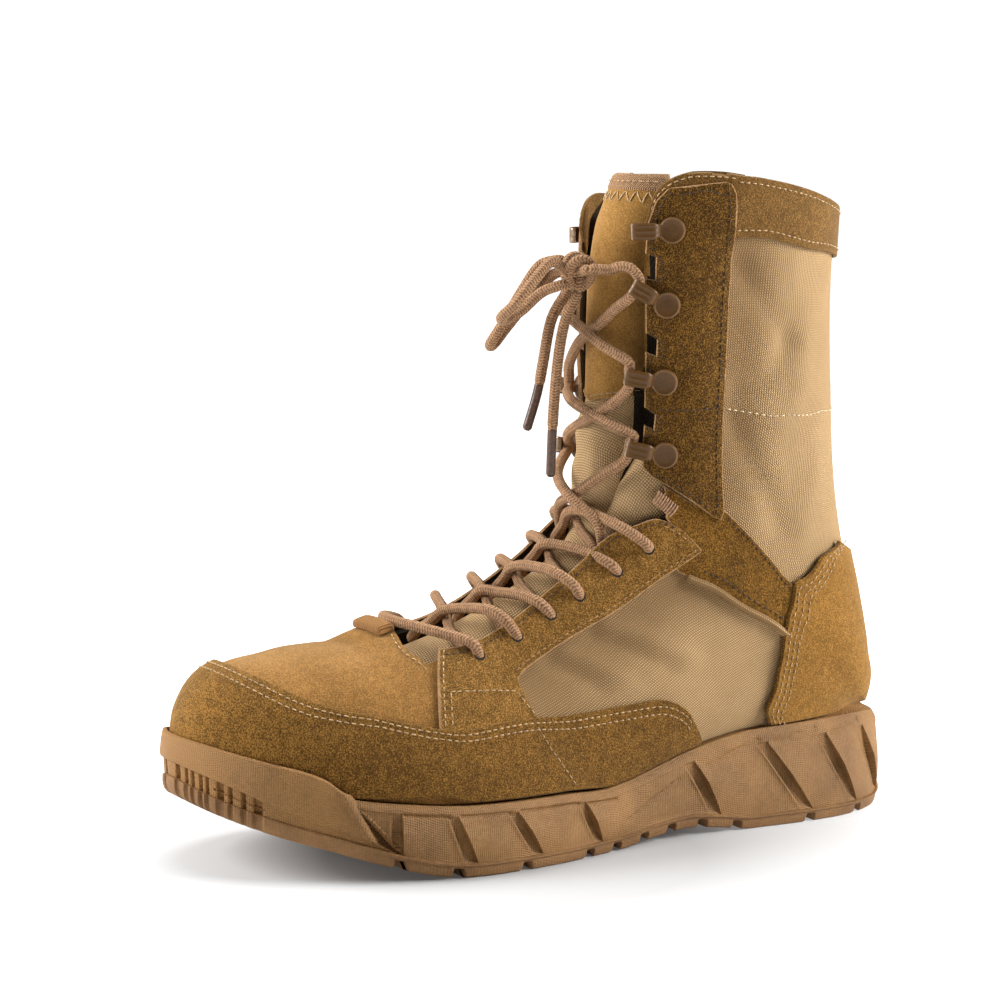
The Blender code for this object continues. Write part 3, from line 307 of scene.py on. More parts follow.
def edge_at(loop, y, side):
    """Where the outline crosses a station, on the outer (+1) or inner (-1) side."""
    part = loop[: TIP_INDEX + 1][::-1] if side > 0 else np.vstack([loop[TIP_INDEX:], loop[:1]])
    return np.interp(y, part[:, 1], part[:, 0])


print("tip of the sole at", FINE_LOOP[TIP_INDEX].round(1))

# %% [markdown]
# The upper's outside is a stack of arches, each from the front line down to the sole. Lofted curves
# would give a mesh, with no way to ask where the leather is. A function of `u` and `q` can be asked
# anywhere, and its normal says which way is straight off the surface.

# %% Surface of the last
ROWS = np.array(SECTIONS, float)


def side_sizes(u, side):
    """A section's values with its half width, end half width and centre line on one side."""
    v = through(ROWS, u)
    open_below = u < HEEL_ROW
    v[..., 3] = np.where(open_below, sole_top(v[..., 2]) + SOLE_GAP, v[..., 3])
    outer, inner = edge_at(FEATHER, v[..., 2], 1), edge_at(FEATHER, v[..., 2], -1)
    middle = np.where(open_below, (outer + inner) / 2, 0.0)
    end = np.where(open_below, np.where(side > 0, outer - middle, middle - inner), 0.0)
    end = np.maximum(end, 0.0)
    return v, np.maximum(v[..., 4], end * 1.005), end, middle


def last_point(u, q):
    """Point of the upper's outside."""
    u, q = np.broadcast_arrays(np.asarray(u, float), np.asarray(q, float))
    closed = u >= HEEL_ROW
    q = np.where(closed & (q > 1), q - 2, np.where(closed & (q < -1), q + 2, q))
    side = np.where(q >= 0, 1.0, -1.0)
    s = np.clip(np.abs(q), 0, 1)
    v, wide, end, middle = side_sizes(u, side)
    reach, front_power, rear_power = v[..., 5], v[..., 6], v[..., 7]
    last_turn = np.arccos(np.clip(1 - 1 / np.maximum(reach, 1.0), 0, 1) ** (front_power / 2))
    widest = np.clip(reach, 0.0, 1.0)
    turn = np.clip(s / np.maximum(widest, 1e-6), 0, 1) * last_turn
    back = np.clip((s - widest) / np.maximum(1 - widest, 1e-6), 0, 1) * math.pi / 2
    close = 1 - (end / wide) ** rear_power
    x_front = wide / np.sin(last_turn) ** (2 / front_power) * np.sin(turn) ** (2 / front_power)
    t_front = reach * (1 - np.cos(turn) ** (2 / front_power))
    x_rear = wide * np.maximum(1 - close * np.sin(back) ** 2, 0) ** (1 / rear_power)
    t_rear = widest + (1 - widest) * np.sin(back) ** (2 / rear_power)
    x = np.where(s <= widest, x_front, x_rear)
    t = np.where(s <= widest, t_front, t_rear)
    front = pchip(u, column(FRONT_LINE, 0), column(FRONT_LINE, 1))
    centre = front + (middle - front) * t
    y = v[..., 0] + (v[..., 2] - v[..., 0]) * t
    z = v[..., 1] + (v[..., 3] - v[..., 1]) * t + v[..., 8] * 4 * t * (1 - t)
    return np.stack([centre + side * x, y, z], axis=-1)


def unit(vectors):
    return vectors / np.maximum(np.linalg.norm(vectors, axis=-1), 1e-9)[..., None]


def last_normal(u, q):
    """Unit normal of the upper's outside; low on the heel, where sections run together, it is radial."""
    du, dq = 0.04, 0.012
    u, q = np.broadcast_arrays(np.asarray(u, float), np.asarray(q, float))
    along = last_point(np.clip(u + du, 0, COLLAR_ROW), q) - last_point(np.clip(u - du, 0, COLLAR_ROW), q)
    normal = unit(np.cross(last_point(u, q + dq) - last_point(u, q - dq), along))
    low_heel = np.clip((np.abs(q) - 0.8) / 0.1, 0, 1) * np.clip((0.7 - np.abs(u - 12.7)) / 0.3, 0, 1)
    radial = last_point(u, q) - (0.0, HEEL_ROUND_Y, 0.0)
    radial[..., 2] = -0.15 * np.hypot(radial[..., 0], radial[..., 1])
    return unit(normal + (unit(radial) - normal) * low_heel[..., None])


def reach_q(u, side, half):
    """Where a section is a given half width from its front line."""
    u = np.asarray(u, float)
    v, wide, end, middle = side_sizes(u, np.full(u.shape, float(side)))
    power = v[..., 6]
    last_turn = np.arccos(np.clip(1 - 1 / np.maximum(v[..., 5], 1.0), 0, 1) ** (power / 2))
    share = np.clip(half / wide, 0, 0.98) * np.sin(last_turn) ** (2 / power)
    return np.arcsin(share ** (power / 2)) / last_turn * np.clip(v[..., 5], 0, 1)


print("last: tip at", last_point(0.0, 0.0).round(1), "collar at", last_point(20.0, 0.0).round(1))

# %% [markdown]
# Worn cloth and leather fold where the foot bends. A cloth simulation would fold them where it likes.
# These folds have to lie where the photo shows them, so each is a soft trough or ridge laid along a short
# line on the last, and its height is added along the surface's normal.

# %% Creases
CREASES = (
    # line of (row, q), width, height
    (((9.55, 0.49), (9.95, 0.56), (10.35, 0.65)), 4.0, 1.3),
    (((9.30, 0.50), (9.65, 0.58), (9.95, 0.66)), 3.2, -1.1),
    (((8.75, 0.51), (9.05, 0.58), (9.30, 0.66)), 3.6, 1.1),
    (((8.45, 0.52), (8.70, 0.59), (8.90, 0.66)), 3.0, -0.9),
    (((18.90, 0.435), (17.80, 0.44), (16.60, 0.44), (15.00, 0.44)), 12.0, -3.0),
    (((18.95, 0.44), (18.60, 0.50), (18.25, 0.57)), 5.0, -1.6),
    (((18.25, 0.57), (17.60, 0.52), (17.10, 0.45)), 5.0, -1.8),
    (((18.60, 0.62), (17.70, 0.61), (17.00, 0.55)), 6.0, 1.2),
    (((16.30, 0.44), (15.50, 0.50), (14.70, 0.55)), 5.0, -1.5),
    (((16.60, 0.66), (15.80, 0.62), (15.20, 0.60)), 6.0, 1.0),
    (((6.00, 0.20), (6.20, 0.05), (6.10, -0.15)), 6.0, -0.7),
    (((5.30, 0.45), (5.10, 0.25), (5.20, 0.05)), 7.0, 0.6),
)
COLLAR_DROP = 0.36


def path_distance(points, path):
    """Distance of each point from a broken line."""
    best = np.full(points.shape[:-1], 1e9)
    for a, b in zip(path[:-1], path[1:]):
        way = b - a
        share = np.clip(((points - a) @ way) / max(way @ way, 1e-9), 0, 1)
        best = np.minimum(best, np.linalg.norm(points - (a + share[..., None] * way), axis=-1))
    return best


CREASE_PATHS = []
for line, width, height in CREASES:
    for side in (1, -1):
        line_u, line_q = np.array(line).T
        CREASE_PATHS.append((last_point(line_u, side * line_q), width, height))


def collar_drop(u, q):
    """Rows by which the inner side's collar stands lower in front than the outer one."""
    q = np.where(np.asarray(q) > 1, np.asarray(q) - 2, q)
    front, high = np.clip((0.62 + q) / 0.25, 0, 1), np.clip((u - 18.7) / 1.2, 0, 1)
    return np.where(q < 0, COLLAR_DROP, 0.0) * front**2 * (3 - 2 * front) * high**2 * (3 - 2 * high)


def skin(u, q, lift, drop=1.0):
    """Point at a height above the creased outside of the upper."""
    u = u - drop * collar_drop(u, q)
    base = last_point(u, q)
    height = np.zeros(base.shape[:-1]) + lift
    for path, width, rise in CREASE_PATHS:
        height = height + rise * np.exp(-((path_distance(base, path) / width) ** 2))
    return base + last_normal(u, q) * height[..., None]


print("creases", len(CREASES))

# %% [markdown]
# Each piece below is a mesh made from arrays. Modifiers suit a single piece, but hundreds of stitches
# are easier to write as numbers. `Soup` gathers points and faces, and adds them to the scene as one
# object that rides on the boot. Surface coordinates in millimetres go with the faces, so the weave and
# the braid keep their real size.

# %% Pieces
class Soup:
    """Points, faces and surface coordinates of one piece."""

    def __init__(self):
        self.points, self.faces, self.uv, self.slots = [], [], [], []
        self.count = 0

    def add(self, points, faces, uv=None, slot=0):
        points = np.asarray(points, float).reshape(-1, 3)
        uv = points[:, :2] if uv is None else np.asarray(uv, float)
        self.points.append(points)
        for number, face in enumerate(faces):
            self.faces.append([int(corner) + self.count for corner in face])
            self.slots.append(int(slot if np.isscalar(slot) else slot[number]))
            self.uv.append(uv[list(face)])
        self.count += len(points)

    def piece(self, name, materials, *nodes, angle=40.0):
        name = name.replace(" ", "_")
        mesh = bpy.data.meshes.new(name)
        places = (np.vstack(self.points) + ORIGIN_SHIFT) * MM
        mesh.from_pydata(places.tolist(), [], self.faces)
        for made in materials:
            mesh.materials.append(made)
        mesh.polygons.foreach_set("material_index", np.array(self.slots, np.int32))
        layer = mesh.uv_layers.new(name="millimetres")
        layer.data.foreach_set("uv", np.vstack(self.uv).astype(np.float32).ravel())
        mesh.shade_smooth()
        mesh.set_sharp_from_angle(angle=math.radians(angle))
        obj = bpy.data.objects.new(name, mesh)
        bpy.context.scene.collection.objects.link(obj)
        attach(obj, "root")
        if nodes:
            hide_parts(*nodes)
        print(name, sum(len(face) - 2 for face in self.faces), "triangles")
        return obj


print("pieces ride on root")

# %% [markdown]
# Lace and piping are round strands along a route. A curve with a bevel is round but plain. Here each
# ring of the strand is set out by itself, so it can carry the bumps of a braid and close with round
# ends. The directions across the route are handed on from ring to ring, so the strand never twists.

# %% Strands
BRAID_PITCH = 2.2
BRAID_STRANDS = 4


def grid_faces(rows, columns, around=False):
    index = np.arange(rows * columns).reshape(rows, columns)
    if around:
        index = np.hstack([index, index[:, :1]])
    corners = (index[:-1, :-1], index[:-1, 1:], index[1:, 1:], index[1:, :-1])
    return np.stack(corners, axis=-1).reshape(-1, 4)


def lengths(points, axis):
    step = np.linalg.norm(np.diff(points, axis=axis), axis=-1)
    start = np.zeros_like(np.take(step, [0], axis=axis))
    return np.concatenate([start, np.cumsum(step, axis=axis)], axis=axis)


def resample(route, step):
    """The same route in even steps of about the given length."""
    route = np.asarray(route, float)
    run = lengths(route, 0)
    at = np.linspace(0, run[-1], max(3, int(run[-1] / step) + 1))
    return np.stack([np.interp(at, run, route[:, c]) for c in range(3)], axis=1), at


def ways_across(route):
    """Two directions across a route that never twist round it."""
    along = unit(np.gradient(route, axis=0))
    way = np.cross(along[0], (0.0, 0.0, 1.0))
    if np.linalg.norm(way) < 0.2:
        way = np.cross(along[0], (1.0, 0.0, 0.0))
    ways = []
    for step in along:
        way = way - step * (way @ step)
        way = way / np.linalg.norm(way)
        ways.append(way)
    ways = np.array(ways)
    return ways, np.cross(along, ways)


def add_tube(soup, route, radius, sides=12, step=0.9, braid=0.0, closed=False):
    """Round strand along a route with rounded ends; braid is the height of its plaited bumps."""
    given = np.broadcast_to(np.asarray(radius, float), len(route))
    given_run = lengths(np.asarray(route, float), 0)
    route, run = resample(route, step)
    way, third = ways_across(route)
    turn = np.linspace(0, 2 * math.pi, sides, endpoint=False)
    phase = 2 * math.pi * run[:, None] / BRAID_PITCH
    bumps = np.cos(BRAID_STRANDS * turn + phase) * np.cos(BRAID_STRANDS * turn - phase)
    size = np.interp(run, given_run, given)[:, None] + braid * bumps
    if not closed:
        cap = np.minimum(run, run[-1] - run) / np.maximum(size.mean(axis=1), 1e-6)
        size = size * np.sqrt(np.clip(1 - (1 - np.clip(cap + 0.12, 0, 1)) ** 2, 0, 1))[:, None]
    ring = np.cos(turn)[None, :, None] * way[:, None] + np.sin(turn)[None, :, None] * third[:, None]
    points = route[:, None] + size[..., None] * ring
    uv = np.stack(np.broadcast_arrays(run[:, None], turn / (2 * math.pi)), axis=-1).reshape(-1, 2)
    faces = [tuple(quad) for quad in grid_faces(len(route), sides, around=True)]
    last = (len(route) - 1) * sides
    faces += [tuple(reversed(range(sides))), tuple(last + corner for corner in range(sides))]
    soup.add(points, faces, uv)


print("braid pitch", BRAID_PITCH, "mm")

# %% [markdown]
# Materials here are small node graphs with no pictures. They could be wired by hand in the shader
# editor; a small class does the same in few lines, and each step has a name that says what it does to
# the surface.

# %% Shader tools
# Painted light: colours lighten over these stations towards the toe, as if it were lit more strongly.
TOE_LIGHT_FROM_Y, TOE_LIGHT_TO_Y = -0.10, -0.148


def colour(red, green, blue):
    """Screen colour from 0 to 255 as linear light."""
    share = np.array([red, green, blue]) / 255
    linear = np.where(share <= 0.04045, share / 12.92, ((share + 0.055) / 1.055) ** 2.4)
    return (*linear.tolist(), 1.0)


class Shader:
    """A material with short ways to add nodes to it."""

    def __init__(self, name, roughness, values=()):
        self.material = bpy.data.materials.new(name)
        self.material.use_nodes = True
        self.tree = self.material.node_tree
        self.surface = self.tree.nodes["Principled BSDF"].inputs
        self.surface["Roughness"].default_value = roughness
        for socket, value in dict(values).items():
            self.surface[socket].default_value = value

    def put(self, socket, value):
        if isinstance(value, bpy.types.NodeSocket):
            self.tree.links.new(value, socket)
        else:
            socket.default_value = value

    def node(self, kind, output, inputs=(), **settings):
        made = self.tree.nodes.new(kind)
        for key, value in settings.items():
            setattr(made, key, value)
        for socket, value in dict(inputs).items():
            self.put(made.inputs[socket], value)
        return made.outputs[output]

    def maths(self, operation, first, second=0.0):
        return self.node("ShaderNodeMath", 0, {0: first, 1: second}, operation=operation)

    def noise(self, scale, detail=2.0, roughness=0.5):
        where = self.node("ShaderNodeTexCoord", "Object")
        values = {"Vector": where, "Scale": scale, "Detail": detail, "Roughness": roughness}
        return self.node("ShaderNodeTexNoise", 0, values)

    def ramp(self, share, *stops):
        made = self.tree.nodes.new("ShaderNodeValToRGB")
        marks = made.color_ramp.elements
        while len(marks) < len(stops):
            marks.new(0.5)
        for mark, (place, value) in zip(marks, stops):
            mark.position, mark.color = place, value
        self.put(made.inputs[0], share)
        return made.outputs[0]

    def sides(self):
        """The two surface coordinates in millimetres."""
        where = self.node("ShaderNodeTexCoord", "UV")
        split = self.tree.nodes.new("ShaderNodeSeparateXYZ")
        self.put(split.inputs[0], where)
        return split.outputs[0], split.outputs[1]

    def wave(self, value, pitch):
        return self.maths("SINE", self.maths("MULTIPLY", value, 2 * math.pi / pitch))

    def blend(self, *shares):
        total = None
        for value, weight in shares:
            term = self.maths("MULTIPLY", value, weight)
            total = term if total is None else self.maths("ADD", total, term)
        return total

    def painted_toe_light(self, amount):
        """Painted light: an amount that grows from nothing at the ball of the foot to its full size at the
        toe.
        """
        split = self.tree.nodes.new("ShaderNodeSeparateXYZ")
        self.put(split.inputs[0], self.node("ShaderNodeTexCoord", "Object"))
        values = {"Value": split.outputs[1], "From Min": TOE_LIGHT_FROM_Y, "From Max": TOE_LIGHT_TO_Y}
        return self.node("ShaderNodeMapRange", 0, values | {"To Min": 0.0, "To Max": amount})

    def bump(self, height, distance):
        values = {"Height": height, "Distance": distance * MM, "Strength": 1.0}
        self.put(self.surface["Normal"], self.node("ShaderNodeBump", 0, values))

    def paint(self, value):
        self.put(self.surface["Base Color"], value)
        return self.material


print("tan in linear light", [round(v, 3) for v in colour(180, 140, 90)])

# %% [markdown]
# Suede is leather with its fibres raised: a mottled colour with light flecks that also lift the
# surface. The nylon is a basket weave counted in millimetres, and the rubber carries a moulded diamond
# mesh. Painted pictures would blur close up; waves and noise stay sharp.

# %% Suede, cloth and rubber
CLOTH = {
    "Sheen Weight": 0.2,
    "Sheen Roughness": 0.5,
    "Sheen Tint": (1.0, 0.76, 0.45, 1.0),
    "Specular IOR Level": 0.12,
}


def suede(name, dark, middle, fleck, contrast, depth, toe_light=0.0):
    """Napped leather with light fibres; contrast is the spread of the mottle, depth the grain's height,
    toe_light the painted light towards the toe.
    """
    made = Shader(name, 0.95, CLOTH)
    cloud, nap, grain = made.noise(55.0, 3.0), made.noise(330.0, 3.0), made.noise(2000.0, 2.0, 0.6)
    mottle = made.blend((cloud, 0.10), (nap, 0.15), (grain, 0.75))
    # Painted light: the mottle lightens towards the toe.
    mottle = made.maths("ADD", mottle, made.painted_toe_light(toe_light))
    made.bump(made.blend((grain, 0.7), (nap, 0.3)), depth)
    stops = ((0.5 - contrast, colour(*dark)), (0.5, colour(*middle)), (0.5 + 1.2 * contrast, colour(*fleck)))
    return made.paint(made.ramp(mottle, *stops))


def weave(name, dark, light, pitch, depth, shade=0.0):
    """Basket weave; shade is a painted shade that darkens the cloth beside the throat's leathers, where the
    fold lies in shadow.
    """
    made = Shader(name, 0.85, CLOTH)
    across, along = made.sides()
    threads = made.maths("MULTIPLY", made.wave(across, 2 * pitch), made.wave(along, 2 * pitch))
    threads = made.maths("ABSOLUTE", threads)
    dirt = made.noise(60.0, 4.0)
    made.bump(threads, depth)
    tone = made.blend((threads, 0.7), (dirt, 0.2), (made.noise(900.0), 0.1))
    # Painted shade: the cloth is darkest up to 24 mm from the throat's edge and clears by 56 mm.
    fold = {"Value": across, "From Min": 24.0, "From Max": 56.0, "To Min": -shade, "To Max": 0.0}
    tone = made.maths("ADD", tone, made.node("ShaderNodeMapRange", 0, fold, interpolation_type="SMOOTHSTEP"))
    return made.paint(made.ramp(tone, (0.2, colour(*dark)), (0.8, colour(*light))))


def rubber(name, dark, light, pitch, depth, toe_light=0.0):
    made = Shader(name, 0.62, {"Specular IOR Level": 0.35})
    across, along = made.sides()
    bend = made.maths("MULTIPLY", made.wave(across, 46.0), 3.0)
    rise = made.maths("ADD", along, bend)
    one = made.wave(made.maths("ADD", across, rise), pitch)
    two = made.wave(made.maths("SUBTRACT", across, rise), pitch)
    mesh = made.maths("MULTIPLY", one, two)
    made.bump(made.blend((mesh, 0.8), (made.noise(1500.0), 0.6)), depth)
    tone = made.blend((made.noise(50.0, 4.0), 0.7), (mesh, 0.05), (made.noise(700.0, 3.0), 0.3))
    # Painted light: the tone lightens towards the toe.
    tone = made.maths("ADD", tone, made.painted_toe_light(toe_light))
    return made.paint(made.ramp(tone, (0.30, colour(*dark)), (0.70, colour(*light))))


print("sheen on cloth and suede", CLOTH["Sheen Weight"])

# %% [markdown]
# The lace shows light flecks where its strands cross, and the tapes are ribbed. Thread, paint and the
# lace tips are nearly one colour, so a fine grain is enough for them.

# %% Braid, tape and plain finishes
def plain(name, value, roughness, values=(), spread=0.28):
    made = Shader(name, roughness, values)
    grain = made.noise(900.0, 3.0)
    shade = [channel * (1 - spread) for channel in value]
    made.bump(grain, 0.08)
    return made.paint(made.ramp(grain, (0.35, colour(*shade)), (0.6, colour(*value))))


def braid(name, dark, light):
    made = Shader(name, 0.8, CLOTH)
    run, around = made.sides()
    fold = made.maths("PINGPONG", made.maths("MULTIPLY", around, 2.0 * BRAID_STRANDS), 1.0)
    step = made.maths("DIVIDE", run, BRAID_PITCH / 2)
    plait = made.wave(made.maths("ADD", step, made.maths("MULTIPLY", fold, 0.6)), 1.0)
    ridge = made.wave(made.maths("MULTIPLY", fold, 0.5), 1.0)
    made.bump(made.blend((plait, 0.5), (ridge, 0.5)), 0.22)
    tone = made.blend((plait, 0.20), (ridge, 0.14), (made.noise(700.0), 0.6))
    return made.paint(made.ramp(tone, (0.02, colour(*dark)), (0.66, colour(*light))))


def ribbed(name, dark, light, pitch):
    made = Shader(name, 0.85, CLOTH)
    across, along = made.sides()
    rib = made.maths("ABSOLUTE", made.wave(across, 2 * pitch))
    cross = made.maths("ABSOLUTE", made.wave(along, 1.2 * pitch))
    height = made.blend((rib, 0.8), (cross, 0.2))
    made.bump(height, 0.4)
    return made.paint(made.ramp(height, (0.2, colour(*dark)), (0.85, colour(*light))))


print("strands in the braid", 2 * BRAID_STRANDS)

# %% [markdown]
# Each leather on the boot has a finish of its own; one brown for all would look flat. The rand's colour is
# also darkened, a painted shade for its side that faces the camera. The colours were set with the render
# beside the photo.

# %% Palette
# Painted light: the last number of the vamp and of the rand lightens them towards the toe.
VAMP_SUEDE = suede("vamp suede", (104, 72, 32), (126, 89, 43), (164, 119, 63), 0.11, 0.10, 0.03)
# Painted shade: the rand's tones are darker for its side that faces the camera.
RAND_SUEDE = suede("rand suede", (64, 42, 12), (90, 61, 20), (146, 104, 46), 0.10, 0.18, 0.05)
FLAP_SUEDE = suede("hook flap suede", (50, 31, 5), (72, 47, 10), (136, 96, 40), 0.10, 0.30)
STRAP_SUEDE = suede("strap suede", (64, 41, 8), (92, 62, 17), (144, 100, 38), 0.10, 0.26)
NAP_SUEDE = suede("napped suede", (74, 50, 16), (106, 74, 29), (162, 118, 58), 0.10, 0.26)
COUNTER_SUEDE = suede("counter suede", (96, 65, 23), (122, 85, 34), (166, 120, 57), 0.12, 0.16)
COLLAR_SUEDE = suede("collar suede", (76, 51, 20), (96, 68, 31), (142, 103, 54), 0.12, 0.16)
TONGUE_SUEDE = suede("tongue suede", (118, 84, 38), (145, 106, 54), (178, 133, 74), 0.15, 0.14)
RAW_EDGE = suede("raw edge", (110, 80, 52), (142, 108, 74), (182, 145, 106), 0.13, 0.15)
# The nylon's last number, 0.34, is the depth of its painted shade beside the throat's leathers.
NYLON = weave("nylon", (122, 94, 61), (206, 172, 126), 1.0, 0.22, 0.34)
TONGUE_NYLON = weave("tongue nylon", (132, 103, 68), (216, 182, 136), 1.0, 0.22)
# The lining's near-black is partly its own colour and partly painted shade for the gaps where it shows.
LINING = weave("lining", (20, 16, 12), (42, 34, 26), 1.4, 0.2)
RUBBER = rubber("rubber", (110, 77, 40), (152, 111, 63), 1.7, 0.13)
# Painted light: the bumper's last number, 0.28, lightens it towards the toe.
BUMPER_RUBBER = rubber("bumper rubber", (96, 65, 29), (142, 102, 54), 1.7, 0.13, 0.28)
TREAD = rubber("tread rubber", (106, 74, 41), (144, 105, 62), 2.6, 0.06)
LACE = braid("lace braid", (92, 63, 42), (178, 138, 104))
WEBBING = ribbed("webbing", (92, 62, 32), (160, 114, 66), 1.1)
BINDING = ribbed("binding tape", (112, 80, 54), (172, 134, 100), 0.9)
LIGHT_THREAD = plain("light thread", (196, 162, 116), 0.7)
DARK_THREAD = plain("dark thread", (62, 40, 18), 0.7)
BROWN_THREAD = plain("brown thread", (172, 126, 76), 0.7)
PALE_THREAD = plain("pale thread", (232, 206, 168), 0.7)
TACK_THREAD = plain("tack thread", (170, 128, 92), 0.75)
METAL = plain("painted metal", (84, 54, 16), 0.45, {"Specular IOR Level": 0.3}, 0.08)
# Painted highlight: a lighter brown for the rivet's rounded rim.
RIM = plain("rivet rim", (112, 80, 46), 0.35, {"Metallic": 0.2}, 0.08)
# Light tip of the hooks: worn paint, and also a painted highlight.
BRIGHT = plain("worn metal", (176, 150, 122), 0.28, {"Metallic": 0.6})
AGLET = plain("aglet", (84, 56, 36), 0.4, {"Coat Weight": 0.15})
FOAM = weave("footbed cloth", (70, 54, 38), (120, 96, 70), 1.6, 0.2)
# Painted shade for the inside of the lace holes.
HOLE = plain("hole", (30, 22, 15), 0.95)
print("finishes", len(bpy.data.materials))

# %% [markdown]
# In a product photo the floor fades to pure white. A lamp under the paper would do that in a studio.
# Here the paper glows more the further it is from the boot, so the soft shadow under the sole stays.

# %% Floor paper
SHADE_AT = (0.03, -0.03, 0.0)
PAPER = Shader("floor", 0.9, {"Emission Color": (1.0, 1.0, 1.0, 1.0)})
floor_at = PAPER.node("ShaderNodeTexCoord", "Object")
far_off = PAPER.node("ShaderNodeVectorMath", "Value", {0: floor_at, 1: SHADE_AT}, operation="DISTANCE")
glow = {"Value": far_off, "From Min": 0.07, "From Max": 0.26, "To Min": 0.06, "To Max": 1.05}
PAPER.put(PAPER.surface["Emission Strength"], PAPER.node("ShaderNodeMapRange", 0, glow))
floor_mesh.materials.append(PAPER.paint(colour(180, 180, 180)))
print("paper is white from", glow["From Max"], "m")

# %% [markdown]
# The lace is a round braid of about four millimetres. Its free part is tied in a bow in front of the shin:
# two loops fall forward, and two ends with dark tips hang down over the crossings. A rope simulation would
# drop them elsewhere, so the routes are marked one by one: ahead of, above and outward from the knot.

# %% Bow, loops and ends
LACE_RADIUS = 2.05
AGLET_LENGTH = 20.0
KNOT = (18.20, 0.035, 8.5)
KNOT_AHEAD = np.array([-0.30, -0.954, 0.0])
KNOT_OUTER = np.array([0.954, -0.30, 0.0])
FREE_ROUTES = {
    # ahead, up, outward
    "lace_loop_outer": (
        (6.2, 0.6, 0.9), (9.0, 3.0, 1.6), (13.0, 4.4, 3.5), (19.5, -1.5, 6.5), (26.5, -10.5, 6.5),
        (31.0, -16.5, 0.5), (28.0, -17.5, -5.0), (22.5, -14.5, -5.0), (15.5, -7.5, -2.0),
        (9.5, -4.6, 1.2), (5.9, -3.8, 2.4),
    ),
    "lace_loop_inner": (
        (5.7, 4.8, -4.5), (10.0, 4.4, -7.0), (15.0, 2.0, -9.0), (21.5, -8.0, -10.0), (27.5, -19.0, -11.5),
        (31.5, -27.5, -16.5), (29.0, -28.0, -22.0), (24.0, -21.5, -22.0), (17.0, -11.0, -16.0),
        (10.0, -1.5, -9.0), (5.9, 0.8, -4.2),
    ),
    "lace_end_outer": (
        (1.8, -6.6, 2.2), (3.8, -11.0, 1.5), (7.0, -19.6, 0.5), (9.2, -35.0, 0.0), (10.6, -56.0, 0.0),
        (11.2, -77.0, 0.0),
    ),
    "lace_end_inner": (
        (2.4, -3.1, -2.5), (5.6, -9.0, -6.0), (10.0, -18.4, -8.0), (13.0, -35.0, -8.0), (15.0, -46.0, -8.0),
        (19.0, -60.0, -8.0),
    ),
}


def knot_places(marks):
    marks = np.asarray(marks, float)
    up_way = np.array([0.0, 0.0, 1.0])
    return skin(*KNOT) + marks[:, 0:1] * KNOT_AHEAD + marks[:, 1:2] * up_way + marks[:, 2:3] * KNOT_OUTER


def smooth_route(places, fineness=24):
    return through(places, np.linspace(0, len(places) - 1, (len(places) - 1) * fineness + 1))


free_cords = {}
for node, marks in FREE_ROUTES.items():
    route, run = resample(smooth_route(knot_places(marks)), 0.8)
    is_end = "end" in node
    cloth = Soup()
    pinched = is_end * np.clip((run - run[-1] + AGLET_LENGTH) / 3.0, 0, 1)
    add_tube(cloth, route, LACE_RADIUS - 0.5 * pinched, 14, 0.8, 0.06)
    tip = []
    if is_end:
        cap = Soup()
        add_tube(cap, route[run >= run[-1] - AGLET_LENGTH], 1.8, 14, 0.5)
        tip = [cap.piece(f"{node} aglet", [AGLET])]
    piece = cloth.piece(f"{node}_braid", [LACE], node)
    length = float(run[-1]) * MM
    free_cords[node] = round(length * 1000, 1)
print("free lengths in mm", free_cords)

# %% [markdown]
# The knot is two turns of the lace pulled tight over the strands that come from the hooks. A real knot
# is one strand, but its inside is hidden. Two closed turns and four short strands look the same and are
# easy to place.

# %% Knot
KNOT_TURNS = (
    # middle ahead, up, outward; half sizes ahead and up; slant
    ((1.6, 0.2, 2.6), 4.3, 5.4, 2.6),
    ((1.9, 0.6, -2.0), 4.2, 5.6, -2.2),
)
KNOT_STRANDS = (
    ((0.0, 2.2, 9.5), (1.2, 1.2, 4.5), (2.0, 0.6, 0.0), (3.6, 2.4, -3.0), (5.2, 4.6, -5.0)),
    ((0.2, 5.6, -9.0), (1.0, 4.4, -4.0), (2.6, 0.8, 1.2), (5.6, 0.4, 1.2)),
    ((0.4, -1.0, 0.0), (1.4, -3.4, 1.6), (2.0, -6.8, 2.2)),
    ((1.0, 1.0, -3.4), (2.2, -1.6, -3.0), (2.6, -3.6, -2.8)),
)
knot = Soup()
for (middle_ahead, middle_up, middle_out), half_ahead, half_up, slant in KNOT_TURNS:
    turn = np.linspace(0, 2 * math.pi, 49)
    marks = np.stack(
        [
            middle_ahead + half_ahead * np.cos(turn),
            middle_up + half_up * np.sin(turn),
            middle_out + slant * np.sin(turn),
        ],
        axis=1,
    )
    add_tube(knot, knot_places(marks), LACE_RADIUS, 14, 0.8, 0.06, closed=True)
for marks in KNOT_STRANDS:
    add_tube(knot, smooth_route(knot_places(marks)), LACE_RADIUS, 14, 0.8, 0.06)
knot.piece("tied knot", [LACE], "lace_knot")

# %% [markdown]
# The lace is threaded as a wearer does it: a bar over the lowest holes, crossings from hole to hole,
# then a zigzag between the hooks. A straight strand between two holes would cut through the tongue, so
# each has a few marks on the last: a row, a share of the way round and a lift.

